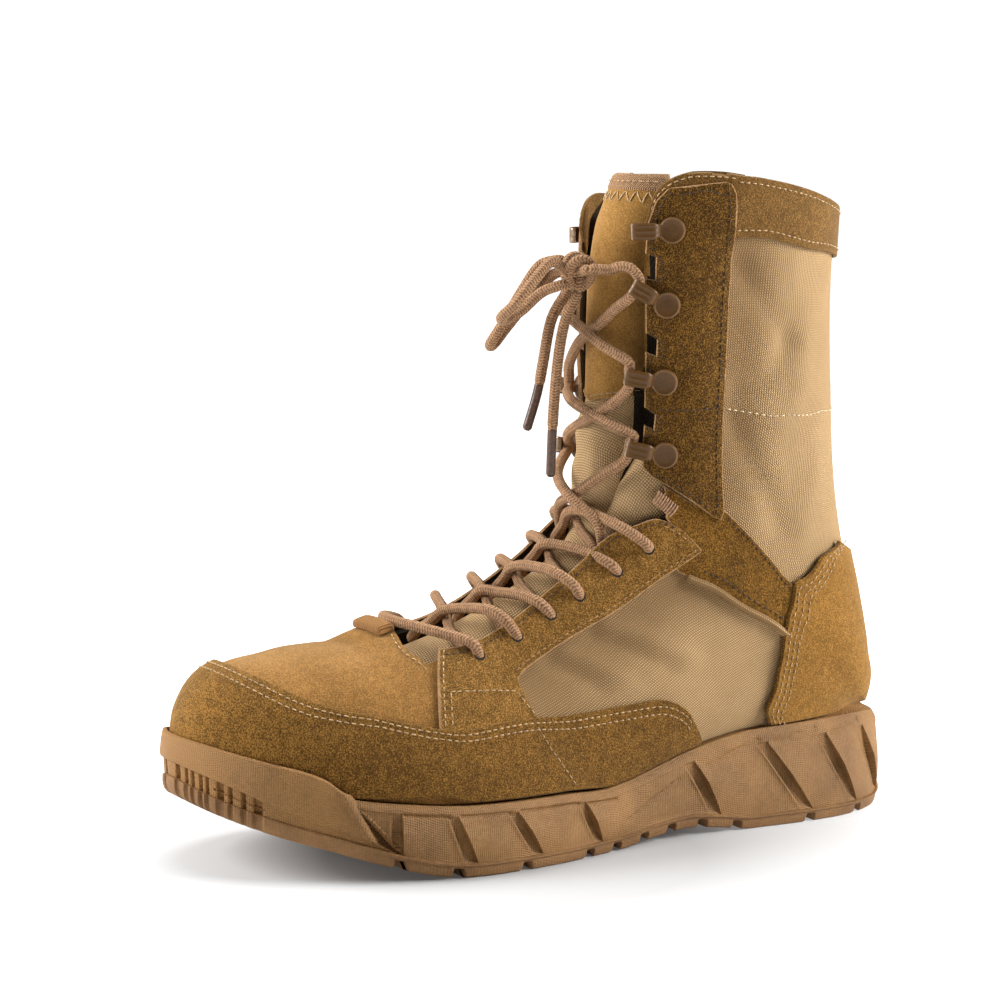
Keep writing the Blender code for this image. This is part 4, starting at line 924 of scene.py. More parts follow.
# %% Marks for the lace
LACE_HOLES = ((7.53, 0.413), (8.28, 0.397), (8.95, 0.380), (9.53, 0.367), (10.33, 0.357), (11.15, 0.350))
HOOKS = {
    1: ((14.09, 0.277), (16.18, 0.260), (17.95, 0.257), (19.17, 0.264)),
    -1: ((13.65, 0.250), (15.80, 0.280), (17.75, 0.285), (19.30, 0.350)),
}
THROAT_EDGE = (
    # row, q of the eyestay's throat edge
    (7.06, 0.345), (7.28, 0.355), (7.50, 0.358), (7.80, 0.354), (8.40, 0.335), (9.60, 0.288),
    (10.60, 0.262), (11.40, 0.292), (11.90, 0.318), (12.15, 0.375),
)
CROSSINGS = (
    # q on the strand's own side and lift, from its hole to the other edge: far side, even and odd near holes
    ((0.33, 3.6), (0.26, 3.0), (0.12, -5.5), (0.0, -10.2), (-0.13, -11.0)),
    ((0.33, 3.0), (0.25, -1.5), (0.13, -6.3), (0.0, -6.3), (-0.13, -8.0)),
    ((0.34, 5.6), (0.27, 4.4), (0.14, -2.5), (0.0, -5.4), (-0.13, -8.0)),
)
HOOK_STRANDS = {
    # row, q and lift from under the eyestay up to the knot
    1: (
        (10.50, 0.33, -4.9), (10.62, 0.26, -4.6), (10.82, 0.205, 0.4), (10.95, 0.07, 3.6),
        (11.33, -0.033, 4.4), (11.92, -0.105, 4.2), (12.75, -0.170, 4.2), (13.10, -0.185, 4.2),
        (13.35, -0.12, 3.4), (13.93, 0.041, 2.9), (14.66, 0.110, 2.7), (15.53, 0.165, 3.4),
        (16.02, 0.166, 4.2), (16.28, 0.160, 4.2), (16.49, 0.083, 5.2), (16.99, -0.024, 5.4),
        (17.25, -0.12, 4.4), (17.45, -0.175, 4.2), (17.70, -0.175, 4.2),
    ),
    -1: (
        (10.50, -0.33, -4.9), (10.70, -0.26, -4.6), (10.86, -0.10, -2.4), (11.10, 0.060, 0.4),
        (11.92, 0.130, 2.6), (12.88, 0.178, 3.4), (13.75, 0.186, 4.2), (14.05, 0.190, 4.2),
        (14.02, 0.12, 5.2), (14.35, -0.01, 5.4), (14.93, -0.130, 4.4), (15.30, -0.175, 4.2),
        (15.62, -0.178, 4.2), (15.90, -0.12, 3.4), (16.44, -0.024, 2.9), (16.90, 0.044, 2.8),
        (17.54, 0.118, 3.2), (17.85, 0.158, 4.2), (18.08, 0.178, 4.2), (18.28, 0.186, 4.4),
        (18.43, 0.165, 5.5), (18.42, 0.138, 6.5), (18.34, 0.115, 7.5),
    ),
}
KNOT_LEADS = {
    1: ((0.0, 2.2, 9.0),),
    -1: ((0.0, 1.5, -18.0), (0.0, 4.6, -13.0), (0.2, 5.6, -8.6)),
}
OVER = GAP + SUEDE + LACE_RADIUS + 0.2
print("holes a side", len(LACE_HOLES), "hooks a side", len(HOOKS[1]))

# %% [markdown]
# Below the hooks the lace comes up out of each punched hole, arches over its own eyestay, crosses the
# tongue and dives under the other eyestay towards the next lower hole. Above the top holes it zigzags
# between the hooks up to the knot; the top hooks stay empty. All strands are one piece, as they are one
# lace.

# %% Lace through holes and hooks
def spot(u, q, lift):
    return skin(np.float64(u), np.float64(q), np.float64(lift))


def edge_q(u):
    return np.interp(u, column(THROAT_EDGE, 0), column(THROAT_EDGE, 1))


def add_strand(marks, tail=()):
    """Lace through marks of row, q and lift, then through places already found."""
    route = [spot(*mark) for mark in marks] + list(tail)
    add_tube(strands, smooth_route(np.array(route)), LACE_RADIUS, 14, 0.8, 0.06)


strands = Soup()
for side in (1, -1):
    for number in range(1, len(LACE_HOLES)):
        (u0, q0), (u1, q1) = LACE_HOLES[number], LACE_HOLES[number - 1]
        marks = [(u0 - 0.02, side * (q0 + 0.012), -2.0), (u0, side * (q0 + 0.004), 1.0)]
        far_edge = -edge_q(u1)
        path = CROSSINGS[0 if side < 0 else 1 + number % 2]
        path += ((far_edge + 0.03, -6.2), (far_edge - 0.04, -4.9))
        marks += [(u0 + (u1 - u0) * (q0 - q) / (q0 + q1), side * q, lift) for q, lift in path]
        add_strand(marks)
    add_strand(HOOK_STRANDS[side], knot_places(KNOT_LEADS[-side]))
u0, q0 = LACE_HOLES[0]
half_bar = [(u0 - 0.02, q0 + 0.012, -2.0), (u0, q0, 1.2), (u0 - 0.05, q0 - 0.05, OVER), (7.20, 0.20, 1.2)]
add_strand(half_bar + [(7.02, 0.0, 0.6)] + [(u, -q, lift) for u, q, lift in reversed(half_bar)])
strands.piece("lace through holes and hooks", [LACE], "lace_crossings")

# %% [markdown]
# Leather and cloth have two faces and a cut edge. The Solidify modifier makes such a wall with one
# thickness. Here the thickness changes from place to place, so a helper joins an outside to an inside,
# welds points that meet and closes open edges with a rim.

# %% Closed walls
def solid_between(soup, outside, inside, face_slots, inside_slot, rim_slot, uv):
    """Closed solid between grids that share their shape; points that meet are welded and open edges
    get a rim. Each of the lists holds one entry for a grid."""
    out = np.vstack([grid.reshape(-1, 3) for grid in outside])
    inn = np.vstack([grid.reshape(-1, 3) for grid in inside])
    flat = np.vstack([grid.reshape(-1, 2) for grid in uv])
    _, first, index = np.unique(np.round(out, 3), axis=0, return_index=True, return_inverse=True)
    index = index.reshape(-1)
    faces, corners, slots, start = [], [], [], 0
    for grid, slot in zip(outside, face_slots):
        rows, columns = grid.shape[:2]
        quads = grid_faces(rows, columns) + start
        start += rows * columns
        for quad, value in zip(quads, np.broadcast_to(slot, len(quads))):
            ring, kept = [], []
            for corner in quad:
                if index[corner] not in ring:
                    ring.append(int(index[corner]))
                    kept.append(int(corner))
            if len(ring) > 2:
                faces.append(ring)
                corners.append(kept)
                slots.append(int(value))
    points = np.vstack([out[first], inn[first]])
    count = len(first)
    volume = 0.0
    for ring in faces[:: max(1, len(faces) // 4000)]:
        a, b, c = points[ring[0]], points[ring[1]], points[ring[2]]
        inner = points[ring[0] + count]
        volume += np.cross(b - a, c - a) @ (a - inner)
    flip = volume < 0
    edges = {}
    every, every_uv, every_slot = [], [], []
    for ring, kept, slot in zip(faces, corners, slots):
        ring, kept = (ring[::-1], kept[::-1]) if flip else (ring, kept)
        every += [ring, [corner + count for corner in reversed(ring)]]
        every_uv += [flat[kept], flat[kept[::-1]]]
        every_slot += [slot, inside_slot]
        for a, b, corner in zip(ring, ring[1:] + ring[:1], kept):
            edges[(a, b)] = corner
    for (a, b), corner in edges.items():
        if (b, a) not in edges:
            every.append([b, a, a + count, b + count])
            every_uv.append(np.repeat(flat[corner][None, :], 4, axis=0))
            every_slot.append(rim_slot)
    soup.points.append(points)
    soup.faces += [[corner + soup.count for corner in ring] for ring in every]
    soup.uv += every_uv
    soup.slots += every_slot
    soup.count += len(points)


print("shell wall", WALL, "mm")

# %% [markdown]
# The upper is one lasted shell. Its vamp is smooth suede, its quarters and shaft are nylon, and the
# inside is a dark lining. It could be sewn together from panels, but on the last they make one surface,
# so one wall with three finishes has no gaps. It stays open at the collar and the throat, and suede
# covers its edges.

# %% Upper
SHELL_EDGE = (
    # row, least q of the shell's throat edge
    (7.05, 0.372), (7.80, 0.368), (8.40, 0.347), (9.60, 0.300), (10.60, 0.276), (11.40, 0.304),
    (11.90, 0.330), (12.20, 0.345), (12.90, 0.315), (13.10, 0.265), (19.30, 0.262), (19.60, 0.270),
    (19.80, 0.300), (20.00, 0.345),
)
VAMP_SEAM = ((0.0, 7.2), (0.36, 7.15), (0.51, 6.55), (0.65, 6.12), (0.75, 6.2), (1.0, 6.2))
THROAT_DIP = 0.40


def upper_rows():
    parts = [np.linspace(0, 6.6, 74, endpoint=False), np.linspace(6.6, 7.2, 25, endpoint=False)]
    parts += [np.linspace(7.2, 13.0, 64, endpoint=False), np.linspace(13.0, 20.0, 80)]
    return np.concatenate(parts)


def throat_dip(u, q):
    """How far the vamp's edge dips towards the toe beside the throat's middle."""
    share = np.clip((np.abs(q) - 0.06) / 0.27, 0, 1)
    return THROAT_DIP * share**2 * (3 - 2 * share) * np.exp(-(((u - THROAT_ROW) / 0.5) ** 2))


def patch_uv(points):
    """Surface coordinates of a grid in millimetres, along its columns and its rows."""
    return np.stack([lengths(points, 1), lengths(points, 0)], axis=-1)


rows_u = upper_rows()
upper = Soup()
outside, inside, slots, surface = [], [], [], []
for side in (1, -1):
    opening = reach_q(rows_u, side, pchip(rows_u, column(FRONT_LINE, 0), column(FRONT_LINE, 2)))
    covered = np.interp(rows_u, column(SHELL_EDGE, 0), column(SHELL_EDGE, 1))
    edge = np.where(rows_u <= THROAT_ROW, 0.0, np.where(rows_u < 7.05, opening, np.maximum(opening, covered)))
    q = side * (edge[:, None] + (1 - edge[:, None]) * np.linspace(0, 1, 60)[None, :])
    u = rows_u[:, None] - throat_dip(rows_u[:, None], q)
    outside.append(skin(u, q, np.zeros(q.shape)))
    inside.append(skin(u, q, np.full(q.shape, -WALL)))
    surface.append(patch_uv(outside[-1]))
    face_u = (u[:-1, :-1] + u[1:, 1:]) / 2
    face_q = np.abs(q[:-1, :-1] + q[1:, 1:]) / 2
    seam_row = np.interp(face_q, column(VAMP_SEAM, 0), column(VAMP_SEAM, 1))
    slots.append(np.where(face_u < seam_row, 1, 0).ravel())
solid_between(upper, outside, inside, slots, 2, 2, surface)
upper.piece("upper shell", [NYLON, VAMP_SUEDE, LINING], "upper")

# %% [markdown]
# Suede overlays are cut flat, thinned at the edge, and stitched down over the shell. A shoemaker keeps
# a paper pattern for each one. Here a pattern is a short table with the two edges of the piece on the
# last, taken from the photo.

# %% Patterns for the leather
RAND = (
    # foot row, foot q, top row, top q
    (9.72, 0.955, 9.78, 0.93), (9.30, 0.96, 9.80, 0.80), (8.90, 0.965, 9.60, 0.740),
    (8.30, 0.975, 9.05, 0.718), (7.60, 0.975, 8.20, 0.697), (6.60, 0.975, 7.20, 0.685),
    (5.60, 0.975, 6.30, 0.695), (4.60, 0.975, 5.50, 0.65), (3.40, 0.975, 4.90, 0.59),
    (2.00, 0.975, 4.40, 0.53), (0.60, 0.975, 4.10, 0.46), (0.10, 0.85, 3.93, 0.38),
    (0.10, 0.62, 3.80, 0.27), (0.10, 0.35, 3.70, 0.14), (0.10, 0.0, 3.66, 0.0),
)
COUNTER_EDGE = (
    # row, q
    (10.75, 0.945), (10.80, 0.86), (11.20, 0.76), (11.60, 0.69), (12.25, 0.62), (13.35, 0.58),
    (14.70, 0.62), (15.50, 0.71),
)
COUNTER_LOW_ROW, COUNTER_TOP_ROW = 13.02, 15.9
COLLAR = (
    # top row, top q, low row, low q
    (20.04, 0.400, 19.22, 0.400), (20.04, 0.46, 19.30, 0.46), (20.03, 0.51, 19.35, 0.51),
    (20.01, 0.60, 19.37, 0.60), (19.98, 0.73, 19.45, 0.73), (19.97, 0.86, 19.48, 0.86),
    (19.97, 1.0, 19.50, 1.0),
)
COLLAR_FRONT = (
    (20.05, 0.440, 19.55, 0.425), (20.07, 0.380, 19.50, 0.370), (20.06, 0.320, 19.40, 0.330),
    (19.97, 0.266, 19.20, 0.290), (19.72, 0.218, 18.90, 0.262), (19.22, 0.192, 18.70, 0.250),
)
EYESTAY = (
    # throat row, throat q, low row, low q
    (7.06, 0.330, 5.80, 0.700), (7.28, 0.348, 6.58, 0.725), (7.50, 0.358, 7.50, 0.735),
    (7.80, 0.354, 7.80, 0.545), (8.40, 0.335, 8.62, 0.490), (9.60, 0.288, 9.80, 0.463),
    (10.60, 0.262, 11.00, 0.432), (11.40, 0.292, 11.60, 0.430), (11.90, 0.318, 12.00, 0.430),
    (12.15, 0.375, 12.10, 0.425),
)
FLAP = (
    # throat row, throat q, rear row, rear q
    (19.80, 0.258, 19.94, 0.388), (19.78, 0.250, 19.91, 0.404), (19.70, 0.238, 19.80, 0.415),
    (19.58, 0.220, 19.64, 0.418), (19.20, 0.200, 19.25, 0.418), (18.72, 0.196, 18.72, 0.415),
    (18.70, 0.224, 18.70, 0.415), (18.32, 0.224, 18.32, 0.412), (18.30, 0.198, 18.30, 0.412),
    (17.17, 0.201, 17.17, 0.410), (17.15, 0.232, 17.15, 0.410), (16.72, 0.232, 16.72, 0.410),
    (16.70, 0.203, 16.70, 0.410), (15.17, 0.210, 15.17, 0.412), (15.15, 0.240, 15.15, 0.412),
    (14.62, 0.240, 14.62, 0.418), (14.60, 0.214, 14.60, 0.418), (13.60, 0.218, 13.80, 0.426),
    (13.10, 0.224, 13.40, 0.420), (13.00, 0.252, 13.26, 0.404),
)
STRAP = (
    # upper row, upper q, lower row, lower q
    (13.00, 0.285, 12.10, 0.330), (13.12, 0.34, 11.90, 0.375), (13.30, 0.385, 11.55, 0.412),
    (13.55, 0.415, 11.25, 0.430), (13.85, 0.425, 11.32, 0.460), (13.74, 0.480, 11.58, 0.505),
    (13.58, 0.525, 11.78, 0.565), (13.42, 0.562, 12.05, 0.610), (13.38, 0.600, 12.20, 0.640),
)
FLAPS = {1: np.array(FLAP), -1: np.array(FLAP) + (0.0, 0.03, 0.0, 0.0)}
FLAP_LIFT = 0.7
EDGE_WIDTH = 0.6
STRAP_LOW, STRAP_THICK = 0.15, 1.3
RAND_LIFT, COUNTER_LIFT, FLAP_EXTRA = 0.4, 0.9, 0.2
print("pattern rows", sum(len(table) for table in (RAND, COLLAR, EYESTAY, FLAP, STRAP)))

# %% [markdown]
# An overlay lies on the shell and rounds down over its edges, where the cut shows lighter than the nap.
# A Shrinkwrap modifier could press a flat cut-out onto the shell. Asking the last for every point gives
# the same lie, and nothing slips.

# %% Laying the leather
def spaced(count, crowd):
    """Shares from 0 to 1 that crowd at both ends."""
    share = np.linspace(0, 1, count)
    return share - crowd * np.sin(2 * math.pi * share) / (2 * math.pi)


def polyline(points, at):
    points = np.asarray(points, float)
    number = np.arange(len(points))
    return np.stack([np.interp(at, number, points[:, c]) for c in range(points.shape[1])], axis=-1)


def edge_rows(table, at, square=False):
    """The two edges of a table at fractional row numbers, smooth unless they have square corners."""
    table = np.asarray(table, float)
    if square:
        return polyline(table, at)
    number = np.arange(len(table))
    return np.stack([pchip(at, number, table[:, c]) for c in range(table.shape[1])], axis=-1)


def edge_distance(points):
    """Distance of each point of a grid from the grid's outer edges."""
    down, over = lengths(points, 0), lengths(points, 1)
    return np.minimum(np.minimum(down, down[-1:] - down), np.minimum(over, over[:, -1:] - over))


def overlay(soup, u, q, low, thickness, rounding=0.7):
    """Piece that lies on the shell, rounded down over its edges; slots are nap, cut edge and back."""
    near = edge_distance(last_point(u, q))
    short = rounding - np.clip(near, 0, rounding)
    outer = skin(u, q, low + thickness - rounding + np.sqrt(rounding**2 - short**2))
    face_near = (near[:-1, :-1] + near[1:, :-1] + near[:-1, 1:] + near[1:, 1:]) / 4
    cut = np.where(face_near < EDGE_WIDTH, 1, 0).ravel()
    solid_between(soup, [outer], [skin(u, q, np.full(u.shape, low))], [cut], 2, 1, [patch_uv(outer)])


def table_grid(table, side, steps, across, square=False):
    last = len(table) - 1
    at = np.linspace(0, last, last * 6 + 1) if square else spaced(steps, 0.6) * last
    if square:
        at = np.unique(np.concatenate([at, [0.04, 0.12, last - 0.12, last - 0.04]]))
    ends = edge_rows(table, at, square)
    share = spaced(across, 0.8)[None, :]
    u = ends[:, 0:1] + (ends[:, 2:3] - ends[:, 0:1]) * share
    return u, side * (ends[:, 1:2] + (ends[:, 3:4] - ends[:, 1:2]) * share)


def both_halves(table, join=0.0):
    """A table and its mirror image, joined at the front line (0) or at the back (1)."""
    half = np.asarray(table, float)
    other = half[::-1][1:].copy()
    other[:, (1, 3)] = 2 * join - other[:, (1, 3)]
    return np.vstack([half, other])


def counter_grid(rise_count, share_count):
    rise = spaced(rise_count, 0.5)
    front = edge_rows(COUNTER_EDGE, rise * (len(COUNTER_EDGE) - 1))
    back = COUNTER_LOW_ROW + (COUNTER_TOP_ROW - COUNTER_LOW_ROW) * rise
    share = 1 - (1 - np.linspace(0, 1, share_count) ** 1.3) ** 1.6
    u = front[:, 0:1] + (back[:, None] - front[:, 0:1]) * share
    q = front[:, 1:2] + (1 - front[:, 1:2]) * share ** (1 + 9 * (1 - rise[:, None]) ** 4)
    return np.hstack([u, u[:, ::-1][:, 1:]]), np.hstack([q, -q[:, ::-1][:, 1:]])


print("cut edge", EDGE_WIDTH, "mm wide")

# %% [markdown]
# Now each pattern becomes leather: the rand round the toe, the cup round the heel, the band round the
# collar, and an eyestay, a hook flap and a strap on each side.

# %% Leather pieces
rand = Soup()
overlay(rand, *table_grid(both_halves(RAND), 1, 260, 34), GAP + RAND_LIFT, SUEDE)
rand.piece("toe rand leather", [RAND_SUEDE, RAND_SUEDE, LINING], "toe_rand")
counter = Soup()
overlay(counter, *counter_grid(70, 60), GAP + COUNTER_LIFT, SUEDE)
counter.piece("heel counter leather", [COUNTER_SUEDE, NAP_SUEDE, LINING], "heel_counter")
collar = Soup()
overlay(collar, *table_grid(both_halves(COLLAR, 1.0), 1, 200, 16), GAP, SUEDE)
for side in (1, -1):
    overlay(collar, *table_grid(COLLAR_FRONT, side, 40, 14), GAP - 0.3, SUEDE)
collar.piece("collar band leather", [COLLAR_SUEDE, COLLAR_SUEDE, COLLAR_SUEDE], "collar_band")
for side, name in ((1, "outer"), (-1, "inner")):
    piece = Soup()
    overlay(piece, *table_grid(EYESTAY, side, 130, 40), GAP, SUEDE)
    piece.piece(f"eyestay {name} leather", [NAP_SUEDE, RAW_EDGE, LINING], f"eyestay_{name}")
    piece = Soup()
    overlay(piece, *table_grid(FLAPS[side], side, 0, 34, square=True), GAP + FLAP_LIFT, SUEDE + FLAP_EXTRA)
    piece.piece(f"hook flap {name} leather", [FLAP_SUEDE, RAW_EDGE, LINING], f"hook_flap_{name}")
    piece = Soup()
    overlay(piece, *table_grid(STRAP, side, 70, 34), STRAP_LOW, STRAP_THICK)
    piece.piece(f"ankle strap {name} leather", [STRAP_SUEDE, RAW_EDGE, LINING], f"ankle_strap_{name}")

# %% [markdown]
# The tongue is padded: smooth suede above, nylon below, and a woven tape bound over its top edge. Cloth with
# air pressure in it would swell evenly. This tongue leans, and is pushed to the inner side, so it is a
# crowned surface with three listed folds.

# %% Tongue
TONGUE = (
    # row, half width, lift of the middle, lift of the edge
    (6.5, 18.0, -6.5, -6.5), (7.0, 27.0, -12.0, -13.0), (8.0, 29.0, -12.6, -11.0), (9.0, 28.0, -12.8, -9.0),
    (10.4, 28.0, -12.8, -9.0), (11.0, 29.0, -7.0, -9.5), (11.6, 30.0, -2.2, -10.5), (12.2, 31.0, -0.2, -11.5),
    (13.2, 31.0, 0.2, -12.0), (14.5, 31.0, -0.8, -12.0), (18.0, 31.0, -0.8, -12.0), (19.0, 30.0, -3.8, -11.0),
    (19.6, 29.0, -9.0, -12.0), (20.0, 27.0, -13.0, -14.0),
)
TONGUE_THICK = 4.5
TONGUE_SUEDE_ROW, TAPE_ROW = 14.5, 19.76
SUEDE_STEP, TAPE_STEP = 0.9, 0.5
PUSHED_BY, PUSHED_ROW = 6.5, 12.9
ROW_LENGTH, HALF_WIDTH = 13.0, 30.0
PAINTED_SHADE_EDGE = (
    # row, share across the tongue from which the dark lining is laid on as painted shade
    (11.0, 0.70), (11.6, 0.52), (12.2, 0.46), (15.0, 0.46),
    (15.6, 0.58), (18.2, 0.62), (18.9, 0.68), (19.0, 1.1),
)
TONGUE_FOLDS = (
    # from row, share, to row, share, width, height
    (13.9, -0.35, 12.2, 0.30, 5.0, 1.2), (12.9, -0.40, 11.4, 0.15, 4.5, -1.0),
    (14.3, 0.20, 13.0, 0.50, 4.0, -1.0),
)


def tongue_place(u, share, lift=0.0):
    """Front of the tongue; share runs from -1 at its inner edge to 1 at its outer edge."""
    u = u + 1.3 * np.abs(share) * np.exp(-(((u - TONGUE_SUEDE_ROW) / 1.5) ** 2))
    rows = column(TONGUE, 0)
    half, middle, edge = (pchip(u, rows, column(TONGUE, number)) for number in (1, 2, 3))
    q = np.where(share >= 0, reach_q(u, 1, half), reach_q(u, -1, half)) * share
    width = np.interp(u, (11.0, 12.5, 18.5, 20.0), (0.85, 0.56, 0.56, 0.9))
    rise = edge + (middle - edge) * np.clip(1 - (share / width) ** 2, 0, 1)
    pushed = PUSHED_BY * np.clip(-share / 0.5, 0, 1) * np.exp(-(((u - PUSHED_ROW) / 1.3) ** 2))
    return skin(u, q, rise + pushed + lift, 0.0)


def fold_lift(u, share):
    total = np.zeros(u.shape)
    sizes = np.array([ROW_LENGTH, HALF_WIDTH])
    flat = np.stack([u, share], axis=-1) * sizes
    for u0, s0, u1, s1, width, height in TONGUE_FOLDS:
        line = np.array([[u0, s0], [u1, s1]]) * sizes
        total += height * np.exp(-((path_distance(flat, line) / width) ** 2))
    return total


tongue_u = np.concatenate(
    [np.linspace(6.5, 14.44, 90), np.linspace(14.5, 19.72, 60), np.linspace(TAPE_ROW, 20.0, 10)]
)
u, share = np.meshgrid(tongue_u, spaced(48, 0.5) * 2 - 1, indexing="ij")
thick = np.where(u < TONGUE_SUEDE_ROW - 0.01, fold_lift(u, share), SUEDE_STEP)
thick = thick + np.where(u >= TAPE_ROW - 0.01, TAPE_STEP, 0.0)
edge_near = np.clip((1 - np.abs(share)) / 0.05, 0, 1)
top_near = np.clip((20.0 - u) / 0.06, 0, 1)
thick = thick - 1.2 * (1 - np.sqrt(edge_near)) - 1.2 * (1 - np.sqrt(top_near))
front = tongue_place(u, share, thick)
behind = tongue_place(u, share, -TONGUE_THICK)
face_u = (u[:-1, :-1] + u[1:, 1:]) / 2
tongue_slots = np.where(face_u < TONGUE_SUEDE_ROW - 0.03, 0, np.where(face_u < TAPE_ROW - 0.02, 1, 2))
# Painted shade: past that share the tongue takes the dark lining, where it sinks under the flaps into shadow.
painted_shade_from = np.interp(face_u, *np.array(PAINTED_SHADE_EDGE).T)
tongue_slots = np.where((share[:-1, :-1] + share[1:, 1:]) / 2 > painted_shade_from, 3, tongue_slots).ravel()
tongue = Soup()
solid_between(tongue, [front], [behind], [tongue_slots], 3, 2, [patch_uv(front)])
tongue_piece = tongue.piece("padded tongue", [TONGUE_NYLON, TONGUE_SUEDE, BINDING, LINING], "tongue")

# %% [markdown]
# On each side a nylon gusset is folded between tongue and quarter to keep sand out. It is one thin
# sheet; its fold is drawn as a line of lifts across it, because a simulated fold would not stop at the
# same place.

# %% Gussets
GUSSET = (
    # share across the fold from the tongue's side, lift
    (0.0, -9.5), (0.05, -6.0), (0.14, -2.4), (0.30, -0.8), (0.60, -1.8), (1.0, -5.0),
)
for side, name in ((1, "outer"), (-1, "inner")):
    u, t = np.meshgrid(np.linspace(10.9, 14.4, 60), np.linspace(0, 1, 40), indexing="ij")
    lift = pchip(t, column(GUSSET, 0), column(GUSSET, 1))
    lift = lift - 3.0 * np.clip((11.7 - u) / 0.7, 0, 1) - 3.0 * np.clip((u - 13.5) / 0.7, 0, 1)
    gap_q = np.interp(u, (10.9, 12.0, 13.0, 14.4), (0.185, 0.165, 0.185, 0.22))
    q = side * (gap_q + (0.345 - gap_q) * t)
    gusset = Soup()
    outer = skin(u, q, lift)
    solid_between(gusset, [outer], [skin(u, q, lift - 0.6)], [0], 0, 0, [patch_uv(outer)])
    piece = gusset.piece(f"gusset {name}", [TONGUE_NYLON])
    width, length = float(lengths(outer, 1)[:, -1].mean()), float(lengths(outer, 0)[-1].mean())
    print("gusset flat", round(width, 1), "by", round(length, 1), "mm")

# %% [markdown]
# A tab of folded webbing at the throat's base carries the lowest bar of the lace. It is thick for its
# size, so the leather's own tool makes it, with a wide rounding.

# %% Throat loop
tab = Soup()
tab_rows, tab_q = np.meshgrid(np.linspace(6.56, 6.86, 24), np.linspace(-0.11, 0.11, 40), indexing="ij")
overlay(tab, tab_rows, tab_q, GAP, 3.0, 1.6)
tab.piece("throat webbing", [WEBBING, WEBBING], "throat_loop")

# %% [markdown]
# The sole is moulded rubber, and most of it follows one outline. Even steps along that outline, with a
# way to find a station on either side, let the wall, the bumper and the tread share their places.

# %% Walk round the sole
def even_loop(count):
    """The sole's outline in even steps, with the run along it."""
    fine = plan_loop(6000)
    closed = np.vstack([fine, fine[:1]])
    run = lengths(closed, 0)
    at = np.linspace(0, run[-1], count, endpoint=False)
    return np.stack([np.interp(at, run, closed[:, c]) for c in range(2)], axis=1), at


def soft_step(value, width):
    return 1 / (1 + np.exp(-np.clip(value / width, -40, 40)))


sole_loop, sole_run = even_loop(2400)
sole_length = sole_run[1] * len(sole_run)
sole_inward = inset_loop(sole_loop, 1.0) - sole_loop
sole_tip = int(np.argmin(sole_loop[:, 1]))


def run_at(y, side):
    part = np.arange(0, sole_tip + 1) if side > 0 else np.arange(sole_tip, len(sole_loop))
    order = part[np.argsort(sole_loop[part, 1])]
    return float(np.interp(y, sole_loop[order, 1], sole_run[order]))


def outline_at(run, inset):
    """Places on the sole's outline at given runs, moved inward, and their stations."""
    around = np.append(sole_run, sole_length)
    x, y, in_x, in_y = (np.interp(run, around, np.append(v, v[0])) for v in (*sole_loop.T, *sole_inward.T))
    return np.stack([x + in_x * inset, y + in_y * inset], axis=-1), y


print("round the sole", round(float(sole_length), 1), "mm")

# %% [markdown]
# Slanted grooves part the side wall into panels that overlap like shingles, widest at half height, with
# a plain lip above. Cutting grooves with booleans leaves ragged edges on a curved wall. Here the mesh
# has columns on both sides of each groove, and each point is moved in or out.

# %% Side panels
SIDE_GROOVES = (
    # station at the top, at the bottom, half width
    (-86.4, -86.4, 1.8), (-66.0, -59.2, 1.9), (-41.3, -30.8, 2.0), (-8.9, -1.3, 1.9),
    (45.0, 56.3, 2.1), (79.0, 100.0, 2.3), (107.4, 124.7, 2.3), (130.1, 143.9, 2.0),
)
INCISED = (
    # from station, level, to station, level
    (14.0, 0.30, 40.0, 0.66), (52.0, 0.72, 77.0, 0.90), (84.0, 0.84, 104.0, 0.93),
    (112.0, 0.84, 128.0, 0.93), (-84.0, 0.84, -68.0, 0.86), (-63.0, 0.86, -43.0, 0.86),
    (-38.0, 0.86, -11.0, 0.84), (-6.0, 0.83, 8.0, 0.80),
)
WALL_DRAW = ((0.0, 0.8), (0.25, 0.4), (0.65, 0.8), (0.93, 2.0), (1.0, 3.2))
BULGE_LEVEL, LIP_LEVEL, PANEL_SLOPE = 0.48, 0.84, 26.0
INCISED_DEPTH, INCISED_WIDTH, WALL_HEIGHT = 0.95, 0.75, 25
BUMPER_END_TOP, BUMPER_END_LOW = -102.0, -84.0
WALL_COLUMN = 1.0
levels = np.concatenate([np.linspace(0, 0.80, 26), [0.825, 0.845, 0.865, 0.90, 0.94, 0.97, 0.99, 1.0]])
GROOVES = sorted(
    (run_at(top_y, side), run_at(low_y, side), half)
    for side in (1, -1)
    for top_y, low_y, half in SIDE_GROOVES
)
groove_run, groove_low, groove_half = np.array(GROOVES).T
columns = [np.arange(0.0, sole_length - 0.4, WALL_COLUMN)]
columns += [groove_run + sign * (groove_half + more) for sign in (1, -1) for more in (-0.12, 0.12, 0.9)]
columns = np.unique(np.concatenate(columns))
columns = columns[np.append(np.diff(columns) > 0.08, True)]
lean = np.interp(columns, [0.0, *groove_run, sole_length], [0.0, *(groove_low - groove_run), 0.0])


